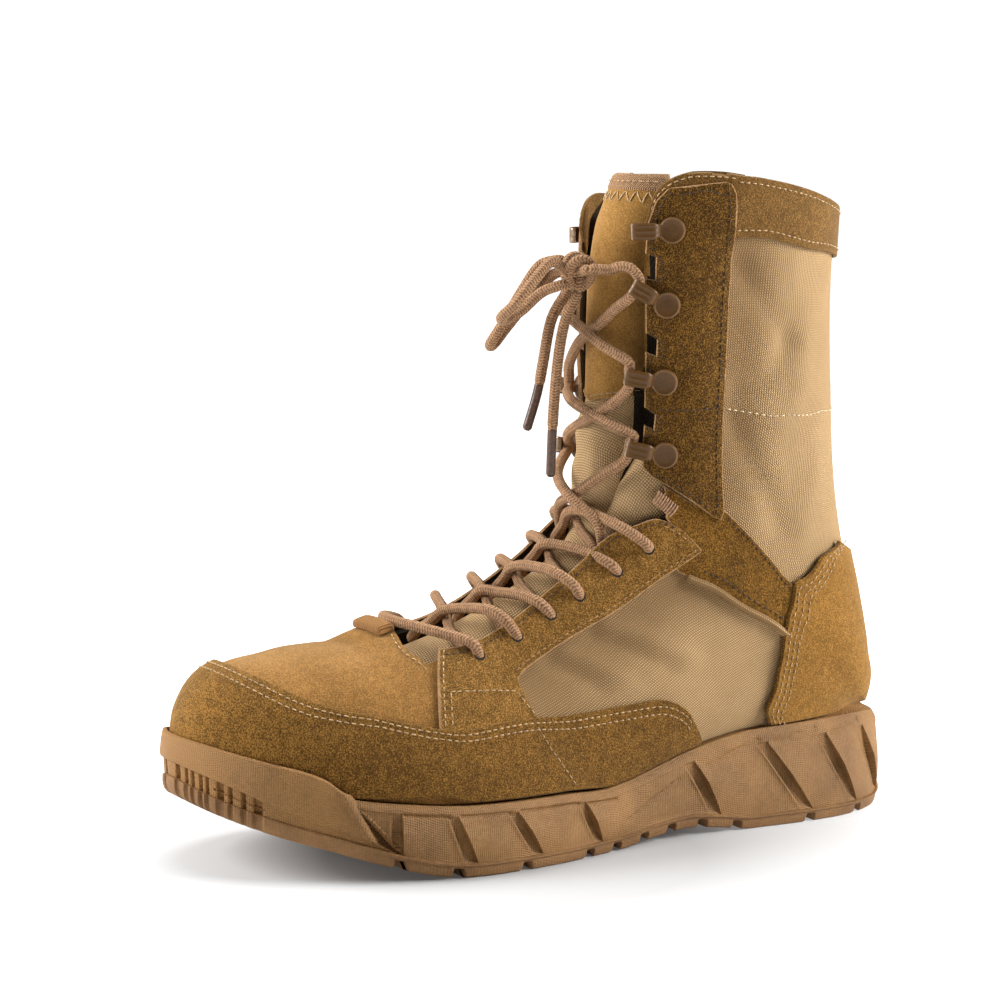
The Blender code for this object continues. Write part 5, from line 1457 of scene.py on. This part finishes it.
def panel_places():
    """Share of each column along its panel from the toe-side cliff, distance from its rear, and trenches."""
    share, behind = np.ones(len(columns)), np.full(len(columns), 99.0)
    for side in (1, -1):
        mine = (columns <= sole_run[sole_tip]) if side > 0 else (columns > sole_run[sole_tip])
        order = np.argsort(side * groove_run)
        toeward = side * columns[mine]
        tops, halves = (side * groove_run)[order], groove_half[order]
        picked = (tops > toeward.min()) & (tops < toeward.max())
        tops, halves = tops[picked], halves[picked]
        front = np.searchsorted(tops, toeward)
        has_front, has_rear = front < len(tops), front > 0
        ahead_edge = np.where(has_front, (tops - halves)[np.minimum(front, len(tops) - 1)], np.inf)
        rear_edge = np.where(has_rear, (tops + halves)[np.maximum(front - 1, 0)], -np.inf)
        slope = np.minimum(ahead_edge - rear_edge, PANEL_SLOPE)
        share[mine] = np.where(has_front, np.clip((ahead_edge - toeward) / slope, 0, 1), 1.0)
        behind[mine] = np.where(has_rear, toeward - rear_edge, 99.0)
    trench = (np.abs(columns[:, None] - groove_run[None, :]) < groove_half[None, :]).any(axis=1)
    return share, behind, trench


panel_share, panel_behind, in_trench = panel_places()


def wall_relief(level, run):
    """How far the side wall stands out of its plain draw at a level; panels overlap like shingles."""
    tent = np.clip(min(level / BULGE_LEVEL, (LIP_LEVEL - level) / (LIP_LEVEL - BULGE_LEVEL)), 0, 1)
    panel = -0.5 * panel_share + tent * (1.8 * (1 - panel_share) ** 1.2 - 0.5)
    panel = panel + 0.5 * tent**0.5 * np.exp(-(((panel_behind - 0.8) / 0.6) ** 2))
    relief = np.where(in_trench, -0.9 - 1.5 * tent, panel)
    relief = relief * soft_step(LIP_LEVEL + 0.012 - level, 0.006) * soft_step(level - 0.025, 0.012)
    flat = np.stack(np.broadcast_arrays(run, level * WALL_HEIGHT), axis=-1)
    for side in (1, -1):
        for y0, level0, y1, level1 in INCISED:
            ends = [(run_at(y0, side), level0 * WALL_HEIGHT), (run_at(y1, side), level1 * WALL_HEIGHT)]
            near = path_distance(flat, np.array(ends)) / INCISED_WIDTH
            relief = relief - INCISED_DEPTH * np.exp(-(near**2))
    return relief


print("grooves", len(GROOVES), "columns", len(columns))

# %% [markdown]
# The wall is a ring of rows round the foot, from the tread up to the lip, over it, and back down
# inside. A ring closes on itself, so it has no seam. Ahead of the bumper's trailing edge the wall steps
# back to make room.

# %% Midsole wall
def ring_piece(name, rows, materials, slot_of_row, nodes, uv_rows, angle=35.0):
    """A closed ring round the foot through rows of points that meet at the end."""
    soup = Soup()
    points = np.array(rows)
    count, around = points.shape[:2]
    faces = grid_faces(count, around, around=True)
    uv = np.array(uv_rows).reshape(-1, 2)
    close = np.stack(
        [
            (count - 1) * around + np.arange(around),
            (count - 1) * around + (np.arange(around) + 1) % around,
            (np.arange(around) + 1) % around,
            np.arange(around),
        ],
        axis=1,
    )
    slots = np.concatenate([np.repeat(slot_of_row, around), np.zeros(around, int)])
    soup.add(points.reshape(-1, 3), [tuple(face) for face in np.vstack([faces, close])], uv, slots)
    return soup.piece(name, materials, *nodes, angle=angle)


draw = pchip(levels, column(WALL_DRAW, 0), column(WALL_DRAW, 1))
end_station = BUMPER_END_LOW + (BUMPER_END_TOP - BUMPER_END_LOW) * levels
rows, uv_rows = [], []


def add_wall_row(run, inset, level, rise=0.0):
    flat, y = outline_at(run, inset)
    low, high = ground(y) + OUTSOLE_THICK + 0.3, sole_top(y)
    z = low + (high - low) * level + rise
    rows.append(np.column_stack([flat, z]))
    uv_rows.append(np.column_stack([run, z]))


for number, level in enumerate(levels):
    run = columns + lean * np.clip((LIP_LEVEL - level) / 0.80, 0, 1.05)
    past_end = end_station[number] - outline_at(run, 0.0)[1]
    pocket = 2.6 * soft_step(past_end - 0.4, 0.5) + 3.0 * soft_step(past_end - 3.4, 0.5)
    inset = np.where(pocket > 0.3, np.maximum(pocket, draw[number]), draw[number] - wall_relief(level, run))
    add_wall_row(run, inset, level)
heel = np.clip((outline_at(columns, 0.0)[1] - 100.0) / 30.0, 0, 1)
for inset, rise in ((3.5, 0.45), (4.2, 0.55), (9.4, 4.0 * heel - 0.3), (17.0, -0.3)):
    add_wall_row(columns, inset, 1.0, rise)
add_wall_row(columns + lean * 1.05, 17.0, 0.0)
ring_piece("midsole wall", rows, [RUBBER], np.zeros(len(rows) - 1, int), ["midsole"], uv_rows)

# %% [markdown]
# The bumper is a thicker band of rubber that climbs the toe and carries short slots. It follows the
# same outline, from one trailing edge round the tip to the other, so it is a grid of rows like the
# wall.

# %% Toe bumper
BUMPER_STEPS, SLOT_DEPTH = 420, 1.7
BUMPER = (
    # y, ledge height, top height
    (-152.0, 40.7, 49.3), (-145.0, 37.6, 47.8), (-134.0, 32.3, 44.8), (-126.0, 28.1, 42.6),
    (-117.0, 24.2, 40.4), (-110.0, 21.4, 37.5), (-104.0, 19.2, 33.0), (-98.0, 16.8, 30.5),
    (-92.0, 14.4, 28.5), (-80.0, 10.8, 27.2),
)
SLOTS = (
    # distance from the tip, half width
    (5.5, 1.3), (10.6, 0.55), (13.9, 0.55), (17.9, 0.55), (20.9, 0.55),
    (26.6, 1.3), (30.8, 0.6), (35.9, 0.7), (41.3, 1.5),
)


def bumper_grid():
    marks = [(share, 0.0, 1.6 - 0.5 * share) for share in np.linspace(0, 0.9, 20)]
    marks += [(0.95, 0.0, 0.7), (1.0, 0.0, 0.15), (1.0, 0.06, -0.1)]
    marks += [(1.0, share, -0.15 + 1.15 * share**2.2) for share in np.linspace(0.12, 0.96, 16)]
    marks += [(1.0, 0.99, 1.35), (1.0, 1.0, 1.8), (1.0, 0.99, 2.4), (0.5, 0.2, 3.4), (0.0, 0.0, 4.1)]
    tip_run = sole_run[sole_tip]
    rings, uv = [], []
    for below, above, inset in marks:
        height = 0.5 * below + 0.5 * above
        end_y = BUMPER_END_LOW + (BUMPER_END_TOP - BUMPER_END_LOW) * height
        at = np.linspace(run_at(end_y, 1), run_at(end_y, -1), BUMPER_STEPS)
        y = outline_at(at, 0.0)[1]
        low = ground(y) + OUTSOLE_THICK + 0.3
        ledge = pchip(y, column(BUMPER, 0), column(BUMPER, 1))
        top = pchip(y, column(BUMPER, 0), column(BUMPER, 2))
        from_end = np.minimum(at - at[0], at[-1] - at)
        size = inset + 1.3 * (1 - np.clip(from_end / 1.6, 0, 1)) ** 2
        size = size - 0.5 * np.exp(-(((from_end - 3.0) / 1.4) ** 2))
        if above == 0.0 and below < 0.93:
            from_tip = np.abs(at - tip_run)
            for place, half in SLOTS:
                size = size + SLOT_DEPTH * soft_step(half - np.abs(from_tip - place), 0.09) * (below > 0.04)
            if 0.42 < below < 0.50:
                size = size + 0.5 * (from_tip > 24) * (from_tip < 44)
        z = low + (ledge - low) * below + (top - ledge) * above
        rings.append(np.column_stack([outline_at(at, size)[0], z]))
        uv.append(np.column_stack([at, z]))
    return np.array(rings), np.array(uv)


rings, ring_uv = bumper_grid()
bumper = Soup()
count, along_count = rings.shape[:2]
faces = [tuple(face) for face in grid_faces(count, along_count)]
back_row = (count - 1) * along_count
close = [(back_row + i, back_row + i + 1, i + 1, i) for i in range(along_count - 1)]
ends = [tuple(k * along_count for k in range(count))]
ends += [tuple((count - k) * along_count - 1 for k in range(count))]
bumper.add(rings.reshape(-1, 3), faces + close + ends, ring_uv.reshape(-1, 2))
bumper.piece("bumper band", [BUMPER_RUBBER], "toe_bumper", angle=35.0)

# %% [markdown]
# The tread follows the rocker of the sole. Channels across it leave lugs, which show as notches along
# the lower edge. Only that edge is seen, so the channels are straight and the underside is plain.

# %% Tread
CHANNELS = (-85.2, -64.0, -35.5, -5.1, 8.7, 22.5, 36.2, 51.2, 67.5, 102.2, 128.6)
CHANNEL_HALF, CHANNEL_DEPTH = 1.9, 2.8
TREAD_SIDE = (
    # inset, level, share of the notches, of the parting ridge
    (2.4, 0.0, 1.0, 0.0), (1.3, 0.14, 1.0, 0.0), (0.9, 0.4, 0.75, 0.0),
    (0.8, 0.62, 0.2, 0.0), (0.8, 0.80, 0.0, 0.0), (0.8, 0.92, 0.0, 1.0),
    (0.8, 1.02, 0.0, 1.0), (1.0, 1.10, 0.0, 0.0), (4.0, 1.12, 0.0, 0.0),
)


def channel_rise(y):
    rise = np.zeros(np.shape(y))
    for place in CHANNELS:
        rise = np.maximum(rise, CHANNEL_DEPTH * soft_step(CHANNEL_HALF - np.abs(y - place), 0.12))
    return rise


tread_loop = plan_loop(1240)
half_count = len(tread_loop) // 2
tread_y = tread_loop[:, 1]
tread = Soup()
side_rows = []
tread_run = lengths(tread_loop, 0)
tread_tip = np.abs(tread_run - tread_run[int(np.argmin(tread_y))])
toe_cut = np.max([soft_step(half + 0.2 - np.abs(tread_tip - place), 0.12) for place, half in SLOTS], axis=0)
for inset, level, notch, ridge in TREAD_SIDE:
    cut = notch * channel_rise(tread_y)
    ridge_out = 0.8 * ridge * np.clip((tread_y + 100.0) / 12.0, 0, 1)
    flat = inset_loop(tread_loop, inset + 0.57 * cut - ridge_out + 1.3 * toe_cut * (level < 1.05))
    base = ground(flat[:, 1]) + (ground(tread_y) - ground(flat[:, 1])) * min(level / 0.4, 1.0)
    side_rows.append(np.column_stack([flat, base + OUTSOLE_THICK * level + cut * (1 - 0.5 * level)]))
side_points = np.array(side_rows)
side_uv = np.stack([np.broadcast_to(tread_run, side_points.shape[:2]), side_points[..., 2]], axis=-1)
tread.add(
    side_points.reshape(-1, 3),
    [tuple(face) for face in grid_faces(len(side_rows), len(tread_loop), around=True)],
    side_uv.reshape(-1, 2),
)
pair = np.arange(half_count + 1)
for row, flip in ((side_points[0], True), (side_points[-1], False)):
    one, two = row[pair], row[(-pair) % len(tread_loop)]
    share = np.linspace(0, 1, 25)[None, :, None]
    across = one[:, None] + (two - one)[:, None] * share
    if flip:
        across[..., 2] = ground(across[..., 1]) + channel_rise(across[..., 1])
    faces = [tuple(face[::-1]) if flip else tuple(face) for face in grid_faces(*across.shape[:2])]
    tread.add(across.reshape(-1, 3), faces)
tread.piece("tread", [TREAD], "outsole", angle=35.0)

# %% [markdown]
# Each speed hook is a ribbed plate under a rivet. It rises from the flap, runs towards the throat over the
# lace, and is rolled down at its tip, which is coloured light: the paint is worn there, and the colour is
# also a painted highlight. A bevelled curve can't change its width or carry ribs, so the plate is a row of
# rings along its side view.

# %% Hook shape
HOOK_PATH = (
    # towards the throat, height, half width
    (-3.8, 0.4, 3.2), (2.8, 0.4, 2.6), (4.2, 1.2, 2.3), (5.2, 3.6, 2.5), (6.4, 4.7, 3.0), (9.0, 5.0, 3.15),
    (13.2, 4.9, 3.15), (14.4, 4.3, 3.1), (14.8, 3.0, 3.0), (14.3, 2.0, 2.8),
)
HOOK_TURNS = {1: (-24.0, -19.0, 9.0, -12.0), -1: (-28.0, -22.0, -16.0, -12.0)}
HOOK_PLATE = 0.9
RIVET = (
    # radius, height
    (5.0, 0.0), (5.0, 1.2), (4.9, 1.8), (4.7, 2.15), (4.4, 2.3),
    (4.2, 2.28), (4.05, 2.2), (2.0, 2.2), (0.2, 2.2),
)
# Past this distance the hook's tip is coloured light: worn paint and a painted highlight.
RIVET_SIDES, WORN_AND_HIGHLIT_FROM = 36, 14.2


def add_hook(soup, u, q, turn_deg):
    """One hook on the flap at a place, turned a little about its rivet."""
    u, q = np.float64(u), np.float64(q)
    normal = last_normal(u, q)
    inward = last_point(u, q - 0.01 * np.sign(q)) - last_point(u, q + 0.01 * np.sign(q))
    inward = unit(inward - normal * (inward @ normal))
    rise = np.cross(normal, inward)
    rise = rise if rise[2] > 0 else -rise
    turn = math.radians(turn_deg)
    inward, rise = (
        inward * math.cos(turn) + rise * math.sin(turn),
        rise * math.cos(turn) - inward * math.sin(turn),
    )
    origin = skin(u, q, GAP + FLAP_LIFT + SUEDE + FLAP_EXTRA)
    path = smooth_route(np.array(HOOK_PATH), 6)
    slope = np.gradient(path[:, :2], axis=0)
    slope /= np.linalg.norm(slope, axis=1)[:, None]
    over = np.stack([-slope[:, 1], slope[:, 0]], axis=1)
    share = np.linspace(-1, 1, 21)
    ribs = 0.22 * np.clip(np.cos(share * 3 * math.pi), 0, 1) * (np.abs(share) < 0.9)
    edge = 0.3 * np.clip((np.abs(share) - 0.85) / 0.15, 0, 1)
    flat_part = np.clip((path[:, 0] - 5.5) / 1.0, 0, 1) * np.clip((13.6 - path[:, 0]) / 0.6, 0, 1)
    rings = []
    for (x, z, half), (ox, oz), flat in zip(path, over, flat_part):
        top = HOOK_PLATE / 2 + ribs * flat - edge
        low = np.full(share.shape, -HOOK_PLATE / 2) + edge
        spread = np.concatenate([share, share[::-1]]) * half
        lift = np.concatenate([top, low[::-1]])
        rings.append(
            origin
            + inward * (x + ox * lift)[:, None]
            + normal * (z + oz * lift)[:, None]
            + rise * spread[:, None]
        )
    rings = np.array(rings)
    count, around = rings.shape[:2]
    faces = [tuple(face) for face in grid_faces(count, around, around=True)]
    # Slot 1 colours the tip light: worn paint and a painted highlight.
    slots = np.repeat((path[:-1, 0] > WORN_AND_HIGHLIT_FROM).astype(int), around).tolist()
    faces += [tuple(reversed(range(around))), tuple((count - 1) * around + k for k in range(around))]
    soup.add(rings.reshape(-1, 3), faces, None, slots + [0, 1])
    angle = np.linspace(0, 2 * math.pi, RIVET_SIDES, endpoint=False)
    disc = np.cos(angle)[:, None] * inward + np.sin(angle)[:, None] * rise
    head = np.array([origin + radius * disc + normal * height for radius, height in RIVET])
    faces = [tuple(face) for face in grid_faces(len(RIVET), RIVET_SIDES, around=True)]
    faces += [tuple((len(RIVET) - 1) * RIVET_SIDES + k for k in range(RIVET_SIDES))]
    # Slot 2 paints the rounded rim lighter, a painted highlight.
    slots = np.repeat([0, 0, 2, 2, 2, 0, 0, 0], RIVET_SIDES).tolist()
    soup.add(head.reshape(-1, 3), faces, None, slots + [0])


print("hook reaches", HOOK_PATH[-2][0], "mm")

# %% [markdown]
# Four hooks stand on each flap. Each is turned a little about its rivet, as the lace has pulled it.

# %% Speed hooks
for side, name in ((1, "outer"), (-1, "inner")):
    for number, ((row, q), turn_deg) in enumerate(zip(HOOKS[side], HOOK_TURNS[side]), 1):
        hook = Soup()
        add_hook(hook, row, side * q, turn_deg)
        hook.piece(f"speed hook {name} {number}", [METAL, BRIGHT, RIM], f"hook_{name}_{number}", angle=30.0)

# %% [markdown]
# A seam is a row of single stitches, each a short thread that dips into the leather at both ends. Bump
# in a material would look painted on, so every stitch is a small mesh, and all of one thread are one
# piece. Rows follow the edges of the overlays a few millimetres in.

# %% Single stitches
STITCH, STITCH_GAP, THREAD = 1.9, 0.85, 0.25
RING_AT = np.array([0.0, 0.14, 0.5, 0.86, 1.0])
RING_LIFT = np.array([-0.35, 0.12, 0.24, 0.12, -0.35])
RING_SIZE = np.array([0.7, 0.95, 1.0, 0.95, 0.7])
SIDES = 6


def add_stitches(soup, places, normals, stitch=STITCH, gap=STITCH_GAP, thread=THREAD):
    """Stitches along a route that lies on the surface."""
    run = lengths(places, 0)
    starts = np.arange(0.3, run[-1] - stitch, stitch + gap)
    at = starts[:, None] + stitch * RING_AT[None, :]
    spot_at = np.stack([np.interp(at, run, places[:, c]) for c in range(3)], axis=-1)
    up_at = unit(np.stack([np.interp(at, run, normals[:, c]) for c in range(3)], axis=-1))
    way = unit(spot_at[:, -1:] - spot_at[:, :1])
    side_way = unit(np.cross(np.broadcast_to(way, up_at.shape), up_at))
    turn = np.linspace(0, 2 * math.pi, SIDES, endpoint=False)
    ring = np.cos(turn)[None, None, :, None] * side_way[:, :, None]
    ring = ring + np.sin(turn)[None, None, :, None] * up_at[:, :, None]
    middle = spot_at + up_at * RING_LIFT[None, :, None]
    points = middle[:, :, None] + thread * RING_SIZE[None, :, None, None] * ring
    faces = [tuple(face) for face in grid_faces(len(RING_AT), SIDES, around=True)]
    faces += [tuple(reversed(range(SIDES))), tuple((len(RING_AT) - 1) * SIDES + k for k in range(SIDES))]
    for one in points:
        soup.add(one.reshape(-1, 3), faces)


def seam(soup, line, lift, **sizes):
    """Stitches along a line of (row, q) on the upper."""
    line = np.asarray(line, float)
    fine = polyline(line, np.linspace(0, len(line) - 1, max(60, 12 * len(line))))
    places = skin(fine[:, 0], fine[:, 1], lift)
    add_stitches(soup, places, last_normal(fine[:, 0], fine[:, 1]), **sizes)


def spacing(one, two):
    """Distance between matching points of two lines of (row, q)."""
    return np.linalg.norm(last_point(one[:, 0], one[:, 1]) - last_point(two[:, 0], two[:, 1]), axis=1)


def inset_line(table, edge, inset, start, stop, side=1, square=False, count=200):
    """Row and q along one edge of a table (0 or 1), a distance in from it in millimetres."""
    ends = edge_rows(table, np.linspace(start, stop, count), square)
    first, second = (ends[:, :2], ends[:, 2:]) if edge == 0 else (ends[:, 2:], ends[:, :2])
    line = first + (second - first) * np.clip(inset / np.maximum(spacing(first, second), 1e-6), 0, 1)[:, None]
    return line * (1, side)


def front_line(inset):
    """Line along the eyestay's front edge, a distance behind it."""
    share = np.linspace(0.02, 0.95, 60)
    table = np.asarray(EYESTAY, float)
    one, two = (table[k, :2] + (table[k, 2:] - table[k, :2]) * share[:, None] for k in (0, 1))
    return one + (two - one) * (inset / np.maximum(spacing(one, two), 1e-6))[:, None]


def counter_line(inset):
    """Line along the heel counter's front edge, a distance behind it."""
    rise = np.linspace(0.04, 0.97, 120)
    front = edge_rows(COUNTER_EDGE, rise * (len(COUNTER_EDGE) - 1))
    behind = front + np.stack([np.full(120, 0.3), np.full(120, 0.06)], axis=1)
    return front + (behind - front) * (inset / spacing(front, behind))[:, None]


print("stitch", STITCH, "mm, gap", STITCH_GAP, "mm")

# %% [markdown]
# Light thread shows on the rand, the counter and the collar, darker thread on the flaps and the strap.
# Both sides are sewn alike.

# %% Seams on the upper
RAND_CROSS = ((7.50, 0.720), (7.46, 0.80), (7.50, 0.965))
EYESTAY_BOX = ((6.58, 0.53), (7.10, 0.555), (7.60, 0.585), (7.62, 0.69))
EYESTAY_END = ((12.02, 0.405), (11.98, 0.37), (11.85, 0.335))
FLAP_HEAD = ((19.70, 0.275), (19.80, 0.34), (19.76, 0.40))
FLAP_FOOT = ((13.18, 0.262), (13.30, 0.33), (13.42, 0.39))
FLAP_CROSS = ((15.35, 0.25), (15.85, 0.33), (16.42, 0.405))
SHAFT_CROSS = ((16.45, 0.423), (17.15, 0.56), (17.62, 0.707), (17.85, 0.85), (17.95, 0.99))
TACK_THREADS, TACK_Q, TACK_STEP = 9, 0.285, 0.006
SINGLE_GAP = 9.0
SUEDE_TOP, RAND_TOP = GAP + SUEDE, GAP + RAND_LIFT + SUEDE
COUNTER_TOP, FLAP_TOP = GAP + COUNTER_LIFT + SUEDE, GAP + FLAP_LIFT + SUEDE + FLAP_EXTRA
light, dark, tack, brown, pale = (Soup() for _ in range(5))
rand_all = both_halves(RAND)
for inset in (2.0, 4.3):
    seam(light, inset_line(rand_all, 1, inset, 0.9, len(rand_all) - 1.9, count=500), RAND_TOP)
for side in (1, -1):
    turned = np.array([1, side])
    seam(light, np.array(RAND_CROSS) * turned, RAND_TOP)
    seam(light, front_line(2.0) * turned, SUEDE_TOP)
    seam(light, front_line(4.8)[32:] * turned, SUEDE_TOP)
    seam(light, np.array(EYESTAY_BOX) * turned, SUEDE_TOP)
    seam(brown, inset_line(EYESTAY, 1, 2.0, 3.1, 8.6, side), SUEDE_TOP)
    seam(brown, np.array(EYESTAY_END) * turned, SUEDE_TOP)
    seam(dark, inset_line(EYESTAY, 0, 3.0, 0.3, 8.6, side), SUEDE_TOP)
    seam(dark, inset_line(FLAPS[side], 0, 2.8, 1.6, 18.6, side, square=True), FLAP_TOP)
    seam(dark, inset_line(FLAPS[side], 1, 2.8, 1.6, 18.6, side, square=True), FLAP_TOP)
    seam(dark, np.array(FLAP_HEAD) * turned, FLAP_TOP)
    seam(dark, np.array(FLAP_FOOT) * turned, FLAP_TOP)
    seam(dark, np.array(FLAP_CROSS) * turned, FLAP_TOP)
    seam(pale, np.array(SHAFT_CROSS) * turned, 0.0)
    seam(light, inset_line(COLLAR, 0, 2.6, 0.3, 6.0, side), SUEDE_TOP)
    seam(light, inset_line(COLLAR, 1, 2.8, 0.3, 6.0, side), SUEDE_TOP)
    seam(light, inset_line(COLLAR_FRONT, 0, 2.0, 0.4, 4.6, side), SUEDE_TOP - 0.3)
    seam(dark, inset_line(STRAP, 0, 2.2, 4.2, 7.6, side), STRAP_LOW + STRAP_THICK)
    seam(dark, inset_line(STRAP, 1, 4.0, 4.2, 7.6, side), STRAP_LOW + STRAP_THICK)
    for inset in (2.6, 5.0, 7.4):
        seam(light, counter_line(inset) * turned, COUNTER_TOP)
    for k in range(TACK_THREADS):
        q = TACK_Q + TACK_STEP * k
        line = np.array([(12.15, q), (12.90, q - 0.004)]) * turned
        seam(tack, line, 2.2, stitch=5.5, gap=SINGLE_GAP, thread=0.5)
    arc_q = np.linspace(0.125, 0.42, 40)
    arc_row = np.interp(arc_q, (0.0, 0.17, 0.34), (6.85, 6.91, 7.05))
    seam(light, np.stack([arc_row - 0.08 - throat_dip(arc_row, arc_q), side * arc_q], axis=1), 0.05)

# %% [markdown]
# The tongue has a row under its tape, a row at the foot of its suede and a zigzag between tape and
# suede. A zigzag is a stitch on each slanted stroke.

# %% Seams on the tongue
TONGUE_FACING = (0.0, -1.0, 0.2)
SEWN_SHARE = 0.86
share = np.linspace(-SEWN_SHARE, SEWN_SHARE, 120)
for row, lift in ((19.87, 1.65), (14.64, 1.05)):
    places = tongue_place(np.full(120, row), share, lift)
    add_stitches(light, places, np.tile(TONGUE_FACING, (120, 1)))
zigzag_at = np.linspace(-SEWN_SHARE, SEWN_SHARE, 19)
zigzag_row = np.where(np.arange(19) % 2 == 0, 19.71, 19.50)
zigzag = tongue_place(zigzag_row, zigzag_at, 1.0)
for one, two in zip(zigzag[:-1], zigzag[1:]):
    places = one + (two - one) * np.linspace(0, 1, 8)[:, None]
    stroke = max(0.5, np.linalg.norm(two - one) - 0.5)
    normals = np.tile(TONGUE_FACING, (8, 1))
    add_stitches(light, places, normals, stitch=stroke, gap=SINGLE_GAP, thread=0.26)
light.piece("light stitches", [LIGHT_THREAD], angle=60.0)
dark.piece("dark stitches", [DARK_THREAD], angle=60.0)
brown.piece("brown stitches", [BROWN_THREAD], angle=60.0)
pale.piece("pale stitches", [PALE_THREAD], angle=60.0)
tack.piece("bar tacks", [TACK_THREAD], angle=60.0)

# %% [markdown]
# A rolled strip of nylon edges the strap, and each lace hole shows dark round the lace. The holes are not cut
# through: the lace fills them, and a dark dish under it is painted shade for the hole's inside.

# %% Piping and hole edges
PIPING_RADIUS, HOLE_SIDES = 1.5, 20
HOLE_RINGS = (
    # radius, depth
    (2.4, 0.3), (2.25, 0.0), (0.5, 0.1),
)
piping, holes = Soup(), Soup()
for side in (1, -1):
    line = inset_line(STRAP, 1, -0.6, 3.9, 8.0, side)
    add_tube(piping, skin(line[:, 0], line[:, 1], PIPING_RADIUS), PIPING_RADIUS, 12, 0.8)
    for row, q in LACE_HOLES:
        turn = np.linspace(0, 2 * math.pi, HOLE_SIDES, endpoint=False)
        centre = spot(row - 0.01, side * (q + 0.006), SUEDE_TOP + 0.06)
        normal = last_normal(np.float64(row), np.float64(side * q))
        first = unit(np.cross(normal, (0.0, 0.0, 1.0)))
        second = np.cross(normal, first)
        ring = np.cos(turn)[:, None] * first + np.sin(turn)[:, None] * second
        points = np.vstack([centre + radius * ring - normal * depth for radius, depth in HOLE_RINGS])
        faces = [tuple(face) for face in grid_faces(len(HOLE_RINGS), HOLE_SIDES, around=True)]
        faces += [tuple((len(HOLE_RINGS) - 1) * HOLE_SIDES + k for k in range(HOLE_SIDES))]
        holes.add(points, faces + [tuple(reversed(range(HOLE_SIDES)))])
piping.piece("strap piping", [NYLON])
holes.piece("hole edges", [HOLE])

# %% [markdown]
# The footbed is the one solid of the part that shows as it is, deep in the collar. It only needs its
# cloth.

# %% Footbed
insole = bpy.data.objects["insole"]
insole.data.materials.clear()
insole.data.materials.append(FOAM)
print("footbed cloth on", insole.name)
